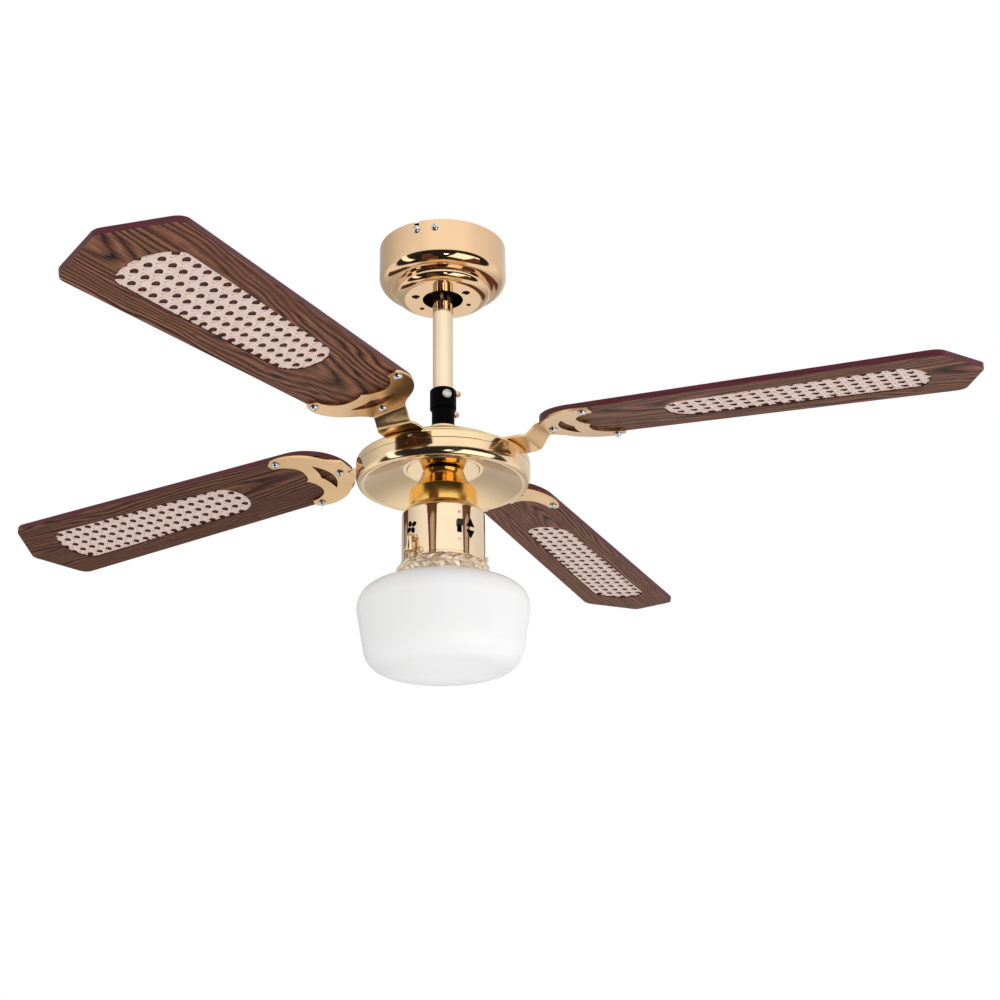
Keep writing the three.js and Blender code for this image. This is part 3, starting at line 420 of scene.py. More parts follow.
def joined_piece(name, parts, place, node, material, **options):
    """A piece of several bmeshes that go to their place together."""
    return new_piece(name, mesh_from(transformed(merged(*parts), place), name), node, material, **options)


# ---- Materials ----


def add_node(tree, kind, links=None, values=None, **settings):
    """A shader node with its settings, its fixed inputs, and the outputs that feed the others."""
    made = tree.nodes.new("ShaderNode" + kind)
    for name, value in settings.items():
        setattr(made, name, value)
    for name, value in (values or {}).items():
        made.inputs[name].default_value = value
    for name, source in (links or {}).items():
        tree.links.new(source, made.inputs[name])
    return made


class Shade:
    """A node material under construction. Its colours are linear."""

    def __init__(self, name, color, roughness, metallic=0.0, grained=False, **sockets):
        self.grained = grained
        self.material = bpy.data.materials.new(name)
        self.material.use_nodes = True
        self.tree = self.material.node_tree
        self.shader = self.tree.nodes["Principled BSDF"]
        sockets.update(Base_Color=(*color, 1), Roughness=roughness, Metallic=metallic)
        for socket, value in sockets.items():
            self.shader.inputs[socket.replace("_", " ")].default_value = value

    def node(self, kind, links=None, values=None, **settings):
        return add_node(self.tree, kind, links, values, **settings)

    def place(self, scale=(1, 1, 1), offset=(0, 0, 0)):
        """The piece's own coordinates in metres, stretched and moved."""
        if self.grained:
            own = self.node("Attribute", attribute_name="grain").outputs["Vector"]
        else:
            own = self.node("TexCoord").outputs["Object"]
        return self.node("Mapping", {"Vector": own}, {"Scale": scale, "Location": offset}).outputs[0]

    def noise(self, scale, detail=4.0, where=None):
        links = {"Vector": where or self.place()}
        values = {"Scale": scale, "Detail": detail, "Roughness": 0.55}
        return self.node("TexNoise", links, values).outputs["Fac"]

    def wave(self, scale, where=None, values=None, **settings):
        links = {"Vector": where or self.place()}
        return self.node("TexWave", links, {"Scale": scale, **(values or {})}, **settings).outputs["Fac"]

    def ramp(self, source, *stops):
        """Colours or greys at places from 0 to 1."""
        made = self.node("ValToRGB", {"Fac": source})
        ramp = made.color_ramp.elements
        while len(ramp) < len(stops):
            ramp.new(0.5)
        for element, (place, color) in zip(ramp, stops):
            element.position = place
            element.color = (*color, 1) if hasattr(color, "__len__") else (color, color, color, 1)
        return made.outputs["Color"]

    def mix(self, factor, first, second, mode="MIX"):
        made = self.node("Mix", data_type="RGBA", blend_type=mode)
        for index, value in ((0, factor), (6, first), (7, second)):
            if isinstance(value, bpy.types.NodeSocket):
                self.tree.links.new(value, made.inputs[index])
            else:
                made.inputs[index].default_value = (*value, 1) if hasattr(value, "__len__") else value
        return made.outputs[2]

    def link(self, source, socket):
        self.tree.links.new(source, self.shader.inputs[socket])
        return self

    def vary(self, socket, pattern, first, last):
        """Drives a socket with a pattern, between two places on its ramp."""
        return self.link(self.ramp(pattern, first, last), socket)

    def clouded(self, color, share, clouds, start):
        """A colour that is mixed, in clouds, with a darker share of itself."""
        darker = tuple(c * share for c in color)
        return self.link(self.mix(self.ramp(clouds, (start, 0.0), (0.7, 1.0)), color, darker), "Base Color")

    def bump(self, height, strength, distance):
        links = {"Height": height}
        values = {"Strength": strength, "Distance": distance}
        return self.link(self.node("Bump", links, values).outputs["Normal"], "Normal")

    def embossed(self, socket, pattern, first, last, strength, distance):
        """The material, once a pattern drives a socket and lifts the surface too."""
        return self.vary(socket, pattern, first, last).bump(pattern, strength, distance).material


def brass(name, color, roughness, waviness=0.03):
    """Lacquered brass: gentle waves in the sheet, and faint clouds in its colour and its gloss."""
    shade = Shade(name, color, roughness, 1.0)
    shade.clouded(color, 0.93, shade.noise(18, detail=3), 0.35)
    shade.vary("Roughness", shade.noise(60), (0.3, roughness * 0.75), (0.75, roughness * 1.35))
    return shade.bump(shade.noise(28, detail=2), waviness, 0.002).material


def satin_brass(name, color):
    """Rolled and lacquered sheet: fine brushing over a soft sheen."""
    shade = Shade(name, color, 0.3, 1.0, grained=True)
    shade.clouded(color, 0.92, shade.noise(22), 0.4)
    streaks = shade.noise(260, detail=6, where=shade.place((1, 9, 1)))
    return shade.embossed("Roughness", streaks, (0.3, 0.23), (0.7, 0.26), 0.01, 0.00005)


def plated_steel(name, color, roughness):
    shade = Shade(name, color, roughness, 1.0)
    shade.vary("Roughness", shade.noise(420), (0.3, roughness * 0.7), (0.8, roughness * 1.6))
    return shade.bump(shade.noise(900, detail=2), 0.04, 0.0001).material


def laminated_steel():
    """Stacked laminations: thin dark lines across the stack."""
    shade = Shade("core_steel", (0.2, 0.21, 0.22), 0.4, 0.9)
    lines = shade.wave(320, bands_direction="Z")
    dark, pale = (0.06, 0.06, 0.065), (0.24, 0.25, 0.26)
    return shade.embossed("Base Color", lines, (0.1, dark), (0.4, pale), 0.3, 0.0003)


def wound_copper():
    """Enamelled wire, turn beside turn."""
    shade = Shade("copper_wire", (0.6, 0.22, 0.09), 0.3, 1.0, Coat_Weight=0.6, Coat_Roughness=0.2)
    turns = shade.wave(260, values={"Distortion": 1.5})
    dark, pale = (0.25, 0.08, 0.03), (0.68, 0.27, 0.12)
    return shade.embossed("Base Color", turns, (0.1, dark), (0.6, pale), 0.5, 0.0004)


def plastic(name, color, roughness):
    shade = Shade(name, color, roughness)
    grain = shade.noise(1400, detail=2)
    dull, matt = (0.3, roughness * 0.8), (0.7, roughness * 1.25)
    return shade.embossed("Roughness", grain, dull, matt, 0.12, 0.0001)


def black_paint():
    """Powder coat: an orange-peel surface and a dull sheen."""
    shade = Shade("black_powder_coat", (0.0012, 0.001, 0.0014), 0.45, Specular_IOR_Level=0.03)
    return shade.embossed("Roughness", shade.noise(700, detail=3), (0.3, 0.35), (0.7, 0.55), 0.2, 0.0002)


def porcelain():
    glaze, speck = (0.82, 0.8, 0.74), (0.6, 0.56, 0.48)
    shade = Shade("porcelain", glaze, 0.22, Coat_Weight=0.5, Coat_Roughness=0.05)
    shade.vary("Base Color", shade.noise(500), (0.66, glaze), (0.74, speck))
    return shade.bump(shade.noise(120), 0.1, 0.0003).material


def opal_glass():
    """White flashed glass: bright under a clear glossy skin, with soft clouds in its depth."""
    shade = Shade("opal_glass", (0.96, 0.96, 0.965), 0.2, Specular_IOR_Level=0.25, Subsurface_Weight=0.35,
                  Subsurface_Radius=(0.02, 0.02, 0.021), Subsurface_Scale=0.6)
    clear, milky = (0.965, 0.965, 0.965), (0.945, 0.945, 0.955)
    shade.vary("Base Color", shade.noise(11, detail=3), (0.3, clear), (0.7, milky))
    shade.vary("Roughness", shade.noise(40), (0.3, 0.17), (0.7, 0.25))
    return shade.bump(shade.noise(16, detail=1), 0.04, 0.003).material


def frosted_glass():
    shade = Shade("frosted_glass", (0.88, 0.87, 0.84), 0.35, Subsurface_Weight=0.2)
    return shade.bump(shade.noise(1200, detail=2), 0.15, 0.0001).material


def walnut(number):
    """Printed walnut: cathedral arches along the blade, close straight lines and short dark pores."""
    # Each blade's wood colours are scaled by its own factor. This is painted shade, darkest on the second
    # blade, which lies on the dimmer side.
    painted_shade = (1.0, 0.76, 1.0, 0.95)[number - 1]
    light, middle, dark = (
        tuple(painted_shade * c for c in color)
        for color in ((0.33, 0.14, 0.07), (0.16, 0.058, 0.033), (0.012, 0.003, 0.002)))
    shade = Shade(f"walnut_{number}", middle, 0.5, grained=True, Specular_IOR_Level=0.1)
    shift = (0.61 * number, 0.037 * number, 0.0)

    def lines(scale, detail):
        """Noise that is drawn out along the blade."""
        return shade.noise(1.0, detail, shade.place(scale, shift))

    warp = shade.node("TexNoise", {"Vector": shade.place((3.2, 14, 1), shift)},
                      {"Scale": 1.0, "Detail": 3.0, "Roughness": 0.5}).outputs["Color"]
    around = shade.place((1.15, 19, 1), (-0.2 - 0.31 * number, 0.3 * math.sin(2.1 * number), 0.0))
    moved = shade.node("VectorMath", {0: warp}, {1: (0.5, 0.5, 0.5)}, operation="SUBTRACT").outputs[0]
    scaled = shade.node("VectorMath", {0: moved}, {1: (0.4, 1.2, 0.0)}, operation="MULTIPLY").outputs[0]
    bent = shade.node("VectorMath", {0: around, 1: scaled}, operation="ADD").outputs[0]
    rings = shade.wave(4.7, bent, {
        "Distortion": 2.2, "Detail": 3.0, "Detail Scale": 1.6, "Detail Roughness": 0.6,
    }, wave_type="RINGS", rings_direction="Z", wave_profile="SAW")
    grain = shade.ramp(rings, (0.0, dark), (0.24, middle), (0.5, light), (0.82, middle), (0.94, dark))
    faint = shade.ramp(lines((4, 90, 1), 3), (0.42, 0.0), (0.68, 0.75))
    grain = shade.mix(faint, grain, middle)
    streaks = lines((14, 620, 1), 5)
    fibre = shade.ramp(streaks, (0.34, 0.42), (0.6, 1.0))
    color = shade.mix(0.8, grain, fibre, "MULTIPLY")
    pores = shade.ramp(lines((60, 1300, 1), 2), (0.58, 1.0), (0.66, 0.25))
    shade.link(shade.mix(0.8, color, pores, "MULTIPLY"), "Base Color")
    shade.vary("Roughness", streaks, (0.3, 0.58), (0.7, 0.42))
    return shade.bump(shade.mix(0.5, fibre, pores, "MULTIPLY"), 0.25, 0.0002).material


def edge_band():
    """The blade's edge band: dark red-brown with faint lines along it."""
    shade = Shade("edge_band", (0.085, 0.009, 0.016), 0.4, grained=True, Specular_IOR_Level=0.3)
    lines = shade.noise(1.0, where=shade.place((30, 30, 1400)))
    dark, pale = (0.055, 0.006, 0.011), (0.13, 0.013, 0.024)
    return shade.embossed("Base Color", lines, (0.35, dark), (0.7, pale), 0.15, 0.0002)


def stain():
    """Bare wood stained red-brown, behind the cane."""
    shade = Shade("stained_wood", (0.075, 0.02, 0.015), 0.6, grained=True, Specular_IOR_Level=0.2)
    fibre = shade.noise(1.0, where=shade.place((20, 500, 20)))
    dark, pale = (0.05, 0.013, 0.01), (0.12, 0.034, 0.025)
    return shade.embossed("Base Color", fibre, (0.35, dark), (0.7, pale), 0.3, 0.0003)


def cane_strand():
    """Peeled cane: pale and slightly glossy, with faint fibres and warmer patches."""
    pale, warm = (0.8, 0.62, 0.55), (0.7, 0.5, 0.42)
    shade = Shade("cane", pale, 0.45, grained=True, Specular_IOR_Level=0.3, Sheen_Weight=0.1)
    shade.vary("Base Color", shade.noise(90, detail=5), (0.35, pale), (0.8, warm))
    return shade.bump(shade.noise(900), 0.3, 0.0002).material


BRASS_CANOPY = brass("brass_canopy", (0.84, 0.57, 0.34), 0.07)
BRASS_ROD = brass("brass_downrod", (0.88, 0.71, 0.49), 0.1)
BRASS_HOUSING = brass("brass_housing", (0.9, 0.69, 0.4), 0.08)
BRASS_UNDER = brass("brass_underside", (0.9, 0.67, 0.41), 0.12)
BRASS_NECK = brass("brass_neck", (0.95, 0.59, 0.16), 0.16)
BRASS_CUP = brass("brass_switch_housing", (0.93, 0.73, 0.5), 0.06)
# The ornament's brass is made paler than the cup's to stand for the garland's bright highlights: a painted
# highlight.
BRASS_ORNAMENT_PAINTED_HIGHLIGHT = brass("brass_ornament_painted_highlight", (1.0, 0.86, 0.68), 0.36, 0.04)
IRON_BRASS = satin_brass("satin_brass", (0.8, 0.52, 0.27))
ZINC = plated_steel("zinc_steel", (0.62, 0.61, 0.56), 0.28)
NICKEL = plated_steel("nickel", (0.78, 0.8, 0.83), 0.13)
COPPER = plated_steel("copper_plate", (0.8, 0.5, 0.38), 0.18)
BLACK_PAINT = black_paint()
BLACK_PLASTIC = plastic("black_plastic", (0.008, 0.008, 0.009), 0.3)
GREY_PLASTIC = plastic("grey_plastic", (0.28, 0.29, 0.3), 0.45)
OPAL = opal_glass()
EDGE_BAND = edge_band()
STAIN = stain()
CANE = cane_strand()

# ---- Fasteners and small marks ----


def screw_mesh(name, head, height, shank, length):
    """A pan head screw along Z with its seat at 0. It is cut once, and its copies share its shape."""
    dome = arc((0, 0), (head, height), 0, 90, 7)
    profile = [*dome, (0, height), (0, -length), (shank, -length), (shank, 0), (head, 0)]
    blank = in_scene("blank", mesh_from(turned_bmesh(eased(profile, 0.15, 2), 32), name))
    slot = (0.9 * head, 0.28 * head, 1.1 * height)
    cross = [block_bmesh(slot, (0, 0, height), edge=0.05, segments=1) for _ in range(2)]
    cross[1].transform(about_z(math.pi / 2))
    drilled(blank, *cross)
    mesh = blank.data
    mesh.name = name
    bpy.data.objects.remove(blank)
    return mesh


def placed_screw(name, mesh, material, place, node=None, **options):
    """A copy of a screw. Its place is in millimetres."""
    moved = Matrix.Translation(place.translation * MM) @ place.to_quaternion().to_matrix().to_4x4()
    return new_piece(name, mesh.copy(), node, material, place=moved, **options)


def hexagon(radius, start, end, crown=0.5):
    """A hexagon along Z with its corners turned down."""
    bm = bmesh.new()
    flat = radius * math.cos(math.radians(30))
    points = [Vector(p) for p in arc((0, 0), (radius, radius), 0, 300, 5)]
    around = [a.lerp(b, t / 4) for a, b in zip(points, points[1:] + points[:1]) for t in range(4)]
    rings = []
    for z, limit in ((start, flat), (start + crown, radius), (end - crown, radius), (end, flat)):
        rings.append([bm.verts.new((*(p.normalized() * min(p.length, limit)), z)) for p in around])
    skin(bm, rings, capped=True)
    return bm


def curved_mark(name, loop, azimuth, level, wall):
    """A thin painted mark on the cup's upright wall. Its loop is across and up from its middle."""
    bm = plate_bmesh(loop, (), 0.02, 0.14)
    low, high = min(x for x, _ in loop), max(x for x, _ in loop)
    sliced(bm, np.arange(math.ceil(low), high, 1.0))
    for v in bm.verts:
        across = azimuth + v.co.x / wall
        v.co = ((wall + v.co.z) * math.cos(across), (wall + v.co.z) * math.sin(across), level + v.co.y)
    new_piece(name, mesh_from(bm, name), None, BLACK_PAINT, body="stator", slot="black_plastic")


# ---- Ceiling mount ----


def canopy():
    low, high = corners("canopy")
    radius, depth = high.x, -low.z
    ledge = CANOPY_STEP_DEPTH - depth
    step = ledge - CANOPY_STEP_WALL
    inner = radius - SHEET
    profile = [
        (radius, 0.0), *quarter_round((radius, ledge + CANOPY_ROUND), (CANOPY_STEP_RADIUS + 3, ledge), 16),
        (CANOPY_STEP_RADIUS, ledge - 0.6),
        *quarter_round((CANOPY_STEP_RADIUS, step), (CANOPY_FLAT_RADIUS, -depth), 14),
        (CANOPY_HOLE_RADIUS, -depth), (CANOPY_HOLE_RADIUS, SHEET - depth),
        *quarter_round((CANOPY_STEP_RADIUS - SHEET, step), (CANOPY_FLAT_RADIUS, SHEET - depth))[::-1],
        (CANOPY_STEP_RADIUS - SHEET, ledge),
        *quarter_round((inner, ledge + CANOPY_ROUND), (CANOPY_STEP_RADIUS + 1.5, ledge + SHEET))[::-1],
        (inner, 0.0),
    ]
    mount = azimuth_of("terminal_block") - math.pi / 2
    screw_level = level_of("canopy_screw_1")
    cutters = []
    for number in BLADES:
        place = aimed(azimuth_of(f"canopy_screw_{number}"), radius, screw_level)
        cutters.append(transformed(rod_bmesh(2.5, -4, 4), place))
    for side in (0, math.pi):
        turn = about_z(mount + side - math.radians(CANOPY_SCREW_SPREAD / 2))
        slot = block_bmesh((8, 5, 1 - screw_level), (radius, 0, (1 + screw_level) / 2), edge=0.05, segments=1)
        cutters.append(transformed(slot, turn))
    for angle, vent in CANOPY_VENTS.items():
        turn = about_z(mount + math.radians(CANOPY_VENT_TURN + angle))
        place = turn @ Matrix.Translation((CANOPY_VENT_RADIUS, 0, 0))
        cutters.append(transformed(rod_bmesh(vent, -depth - 2, 3 - depth, 32), place))
    turned_piece("canopy_shell", profile, "canopy", BRASS_CANOPY, 192, cutters)
    screw = screw_mesh("canopy_screw", head=4.2, height=2.6, shank=2.0, length=10)
    for number in BLADES:
        node = f"canopy_screw_{number}"
        place = aimed(azimuth_of(node), radius + SEAT_GAP, screw_level)
        placed_screw(f"canopy_pan_screw_{number}", screw, NICKEL, place, node)


def downrod():
    low, high = corners("downrod")
    radius = high.x
    bore = radius - ROD_WALL
    profile = [(bore, low.z), (radius, low.z), (radius, high.z), (bore, high.z)]
    across = (
        (radius_of("hanger_cross_pin"), math.pi / 2, "hanger_cross_pin"),
        (CLEVIS_BOLT_RADIUS, azimuth_of("clevis_bolt"), "clevis_bolt"),
    )
    cutters = [
        transformed(rod_bmesh(size + SEAT_GAP, -radius - 2, radius + 2), aimed(azimuth, 0, level_of(node)))
        for size, azimuth, node in across]
    turned_piece("downrod_tube", profile, "downrod", BRASS_ROD, 96, cutters)


def coupling():
    low, high = corners("coupling")
    rod_end = corners("downrod")[0].z
    radius, neck = high.x, COUPLING_NECK_RADIUS
    bore = radius_of("motor_shaft") + SEAT_GAP
    shoulder = rod_end - 2
    socket = radius_of("downrod") + SEAT_GAP
    profile = [
        (bore, low.z), (neck - 0.8, low.z), (neck, low.z + 0.8), (neck, shoulder - 0.5),
        (radius, shoulder + 1.8), (radius, shoulder + 9), (radius - 0.5, shoulder + 9.4),
        (radius - 0.5, shoulder + 10.2), (radius, shoulder + 10.6),
        (radius, high.z - 1.2), (radius - 1.2, high.z), (socket, high.z),
        (socket, rod_end - SEAT_GAP), (bore, rod_end - SEAT_GAP),
    ]
    turned_piece("coupling_body", profile, "coupling", BLACK_PAINT, 96)


def clevis_bolt():
    """The bolt through coupling and rod: a low round head with a shallow dish, and its nut behind."""
    face = radius_of("coupling") + SEAT_GAP
    head = [(0, 2.2), (2.9, 2.2), (3.3, 2.7), (4.1, 2.5), (4.7, 1.6), (4.7, 0), (0, 0)]
    parts = [
        transformed(turned_bmesh(eased(head, 0.2, 2), 40), Matrix.Translation((0, 0, face))),
        rod_bmesh(CLEVIS_BOLT_RADIUS, -face - 5, face + 0.5, 32), hexagon(4.8, -face - 3.6, -face),
    ]
    place = aimed(azimuth_of("clevis_bolt") + math.pi, 0, level_of("clevis_bolt"))
    joined_piece("clevis_bolt_and_nut", parts, place, "clevis_bolt", ZINC)


def set_screws():
    """Two screws that lock the rod and the shaft, each with a lock nut under its round head."""
    walls = {"set_screw_upper": radius_of("coupling"), "set_screw_lower": COUPLING_NECK_RADIUS}
    for node, wall in walls.items():
        face = wall + SEAT_GAP
        dome = arc((0, face + 2.0), (3.2, 2.6), 0, 90, 8)
        head = turned_bmesh(eased([*dome, (0, face + 2.0)], 0.2, 2), 32)
        parts = [rod_bmesh(2.0, face - 2.4, face + 3), hexagon(3.8, face, face + 1.7), head]
        joined_piece(node + "_and_nut", parts, aimed(azimuth_of(node), 0, level_of(node)), node, COPPER)


# ---- Motor ----


def upper_cover():
    low, high = corners("upper_motor_cover")
    radius, collar, seam = high.x, high.z, low.z
    hole = COUPLING_NECK_RADIUS + RUNNING_GAP
    flange = corners("blade_iron_1")[0].z - SEAT_GAP
    shoulder = collar - CROWN_DROP
    bearing = radius_of("upper_bearing") + SEAT_GAP
    bearing_bottom, bearing_top = (corner.z for corner in corners("upper_bearing"))
    crown, flat = (CROWN_RADIUS, shoulder - CROWN_EDGE), radius - FLANGE_ROUND
    profile = [
        (hole, collar), (COLLAR_RADIUS, collar), (COLLAR_RADIUS + 0.6, collar - 2.5),
        *quarter_round(crown, (CROWN_RADIUS - CROWN_EDGE, shoulder), 12)[::-1],
        (CROWN_RADIUS + 0.8, flange),
        *quarter_round((radius, flange - FLANGE_ROUND), (flat, flange), 12)[::-1],
        (radius, seam), (radius - SHEET, seam),
        *quarter_round((radius - SHEET, flange - FLANGE_ROUND), (flat, flange - SHEET), 8),
        (CROWN_RADIUS - SHEET + 0.8, flange - SHEET),
        *quarter_round((crown[0] - SHEET, crown[1]), (CROWN_RADIUS - CROWN_EDGE, shoulder - 1.6), 8),
        (bearing + 2, collar - 6), (bearing + 2, bearing_bottom), (bearing, bearing_bottom),
        (bearing, bearing_top + SEAT_GAP), (hole, bearing_top + SEAT_GAP),
    ]
    turned_piece("upper_cover", profile, "upper_motor_cover", BRASS_HOUSING, 192)


def lower_cover():
    """The wall, a round rim, and the underside that is drawn up to a flat disc round the shaft."""
    low, high = corners("lower_motor_cover")
    radius, rim = high.x, low.z
    top = corners("upper_motor_cover")[0].z - SEAT_GAP
    hole = radius_of("motor_shaft") + RUNNING_GAP
    underside = rim + BOTTOM_HOLLOW
    inside = underside + SHEET
    wall_bottom = rim + 10
    bearing = radius_of("lower_bearing") + SEAT_GAP
    bearing_top = corners("lower_bearing")[1].z
    concave = bezier(
        (BOTTOM_RIM_RADIUS - 2.5, rim + 0.6), (BOTTOM_RIM_RADIUS * 0.68, underside - 3),
        (BOTTOM_DISC_RADIUS + 4, underside + 1), steps=18)
    profile = [
        (radius, top), *quarter_round((radius, wall_bottom), (BOTTOM_RIM_RADIUS + 1, rim + 0.2), 16),
        *arc((BOTTOM_RIM_RADIUS - 0.5, rim + 1.2), (1.3, 1.2), -75, -150, 5),
        (BOTTOM_RIM_RADIUS - 2.5, rim + 0.6), *concave,
        (BOTTOM_DISC_RADIUS + 2, underside + 1), (BOTTOM_DISC_RADIUS + 1, underside), (hole, underside),
        (hole, inside), (bearing, inside), (bearing, bearing_top), (bearing + 2, bearing_top),
        (bearing + 2, inside), *[(r - 0.4, z + SHEET) for r, z in concave[::-1]],
        (BOTTOM_RIM_RADIUS - 2.9, rim + 2.4),
        *quarter_round((radius - SHEET, wall_bottom), (BOTTOM_RIM_RADIUS, rim + 2.4))[::-1],
        (radius - SHEET, top),
    ]
    turned_piece("lower_cover", profile, "lower_motor_cover", BRASS_UNDER, 192)


# ---- Blades ----


def face_data(node):
    """Areas, centres and normals of a CAD node's faces, in millimetres."""
    polygons = frame["nodes"][node].data.polygons
    areas = np.array([p.area for p in polygons])
    centres = np.array([p.center for p in polygons]) / MM
    normals = np.array([p.normal for p in polygons])
    return areas, centres, normals


def centre_of(node):
    areas, centres, _ = face_data(node)
    return Vector((areas[:, None] * centres).sum(0) / areas.sum())


def blade_place(number):
    """The blade's own axes: along it, across it and up through it, from a point on the fan's axis."""
    areas, _, normals = face_data(f"cane_panel_{number}")
    flat = normals[areas.argmax()]
    close = np.abs(normals @ flat) > 0.999
    up = Vector((areas[close, None] * normals[close] * np.sign(normals[close, 2:3])).sum(0)).normalized()
    heel = centre_of(f"blade_screw_{number}_3")
    along = centre_of(f"cane_panel_{number}") - heel
    along = (along - up * along.dot(up)).normalized()
    across = up.cross(along)
    flat_way = Vector((along.x, along.y))
    origin = heel - along * (Vector((heel.x, heel.y)).dot(flat_way) / flat_way.length_squared)
    heights = [(v.co / MM - origin).dot(up) for v in frame["nodes"][f"blade_{number}"].data.vertices]
    origin += up * min(heights)
    place = Matrix((along, across, up)).transposed().to_4x4()
    place.translation = origin
    return place


def local_span(node, place):
    """Lowest and highest corner of a node in a blade's own axes."""
    back = place.inverted()
    points = np.array([back @ (v.co / MM) for v in frame["nodes"][node].data.vertices])
    return points.min(0), points.max(0)


def blade_widths(heel, tip):
    """Half the blade's width as a function of the distance from the fan's axis."""
    start, end = heel + BLADE_HEEL_ROUND, tip - BLADE_TIP_POINT

    def half_width(u):
        return (BLADE_HEEL_WIDTH + (BLADE_TIP_WIDTH - BLADE_HEEL_WIDTH) * (u - start) / (end - start)) / 2

    return half_width


def blade_outline(heel, tip, half):
    """A round heel, straight sides that part toward the tip, and a blunt point between two corners."""
    start, corner = heel + BLADE_HEEL_ROUND, tip - BLADE_TIP_POINT
    width, back = half(corner), (corner - BLADE_CORNER_ROUND, half(corner - BLADE_CORNER_ROUND))
    share = BLADE_CORNER_ROUND / width
    near = (corner + BLADE_TIP_POINT * share, width * (1 - share))
    point = (tip - BLADE_TIP_POINT * 0.08, width * 0.08)
    return arc((start, 0), (BLADE_HEEL_ROUND, BLADE_HEEL_WIDTH / 2), 90, 270, 40) + outline(
        (back[0], -back[1]), [(corner, -width), (near[0], -near[1])], [(point[0], -point[1])],
        [(tip, 0), point], [near], [(corner, width), back], steps=8)


def cane_outline(heel, tip, half, clearance=0.0):
    start, end = heel + CANE_HEEL_ROUND, tip - CANE_TIP_ROUND
    narrow = half(start) - CANE_BORDER + clearance
    wide = half(end) - CANE_BORDER + clearance
    last = tip + clearance
    return arc((start, 0), (CANE_HEEL_ROUND + clearance, narrow), 90, 270, 30) + outline(
        (end - 4, -wide), [(end + 6, -wide), (last, -wide / 2), (last, 0)],
        [(last, wide / 2), (end + 6, wide), (end - 4, wide)], steps=14)


def clip(line, way, loop):
    """Distances along a line at which it enters and leaves a loop, or None."""
    hits = []
    side = [(y - line[1]) * way[0] - (x - line[0]) * way[1] for x, y in loop]
    for i, (x, y) in enumerate(loop):
        x0, y0 = loop[i - 1]
        if (side[i] > 0) != (side[i - 1] > 0):
            t = side[i - 1] / (side[i - 1] - side[i])
            hits.append((x0 + (x - x0) * t - line[0]) * way[0] + (y0 + (y - y0) * t - line[1]) * way[1])
    return (min(hits), max(hits)) if len(hits) > 1 else None


def strand(bm, start, way, loop, height_at, step):
    """A ribbon across a loop, with a crowned face that rises and dips along its way."""
    reach = clip(start, way, loop)
    if not reach or reach[1] - reach[0] < 1.5:
        return
    first, last = reach
    count = max(2, int((last - first) / step))
    across, lift = Vector((-way[1], way[0], 0)) * STRAND_WIDTH, Vector((0, 0, 1))
    rings = []
    for i in range(count + 1):
        t = first + (last - first) * i / count
        middle = Vector((start[0] + way[0] * t, start[1] + way[1] * t, height_at(t)))
        rings.append([bm.verts.new(p) for p in (
            middle - across / 2, middle - across / 4 - lift * 0.17, middle + across / 4 - lift * 0.17,
            middle + across / 2, middle + lift * 0.14)])
    skin(bm, rings, capped=True)


def cane_bmesh(loop, low, high):
    """Six-way caning inside a loop: pairs of strands along and across, woven, over two diagonals."""
    bm = bmesh.new()
    us, vs = [p[0] for p in loop], [p[1] for p in loop]
    sides = (-PAIR_SPREAD, PAIR_SPREAD)

    def knots(first, start, end):
        count = range(math.floor((start - first) / CANE_PITCH), math.ceil((end - first) / CANE_PITCH) + 1)
        return [first + CANE_PITCH * k for k in count]

    def woven(crossings, parity):
        """The height of a strand that passes over and under those that it crosses."""
        marks = list(range(len(crossings)))

        def height(t):
            return low + 0.36 + 0.16 * math.cos(math.pi * (float(np.interp(t, crossings, marks)) + parity))

        return height

    along = [v + side for v in knots(CANE_FIRST_KNOT[1], min(vs), max(vs)) for side in sides]
    across = [u + side for u in knots(CANE_FIRST_KNOT[0], min(us), max(us)) for side in sides]
    for way, lines, crossings in (((1, 0), along, across), ((0, 1), across, along)):
        for index, place in enumerate(lines):
            start = (way[1] * place, way[0] * place)
            strand(bm, start, way, loop, woven(crossings, index + way[1]), 1.3)
    root = math.sqrt(0.5)
    for way, height in (((root, root), high - 0.4), ((root, -root), high - 0.2)):
        def crossed(t, middle=height):
            return middle + 0.06 * math.cos(2 * math.pi * t * root / CANE_PITCH)

        for u in knots(CANE_FIRST_KNOT[0], min(us) - 80, max(us) + 80):
            strand(bm, (u, CANE_FIRST_KNOT[1] + CANE_PITCH / 2), way, loop, crossed, 2.3)
    return bm


def iron_outline():
    """A foot on the motor, a neck, a heel, and two arms that reach out to the blade's screws."""
    neck, foot, foot_inner = IRON_NECK_WIDTH / 2, IRON_FOOT_WIDTH / 2, CROWN_RADIUS + 3
    spread, arm, heel = IRON_ARM_SPREAD, IRON_ARM_RADIUS, IRON_HEEL_SCREW_RADIUS
    end, scallop, outer = arm + 8, arm - 16, spread + 7
    return mirrored(outline(
        (foot_inner, 0), [(foot_inner, foot * 0.55)],
        [(foot_inner + 1, foot * 0.85), (foot_inner + 10, foot)],
        [(foot_inner + 17, foot), (IRON_INNER_BEND - 6, neck + 3)],
        [(IRON_INNER_BEND - 1, neck), (IRON_INNER_BEND + 3, neck)], [(IRON_OUTER_BEND - 1, neck)],
        [(heel - 4, neck + 4), (heel + 3, neck + 13)], [(heel + 18, outer - 2), (arm - 10, outer)],
        [(end, outer), (end, spread)], [(end, spread - 9), (arm + 2, spread - 7.5)],
        [(scallop - 2, spread - 14), (scallop - 1, 16)], [(scallop, 4), (scallop + 6, 0)], steps=9))


def crescent_outline():
    """The hole between the iron's heel and its arms."""
    inner, outer = IRON_HEEL_SCREW_RADIUS + 8, IRON_ARM_RADIUS - 29
    return mirrored(outline(
        (inner, 0), [(inner + 0.5, 14), (outer - 2, 25)], [(outer - 3, 9), (outer + 1.5, 0)]))


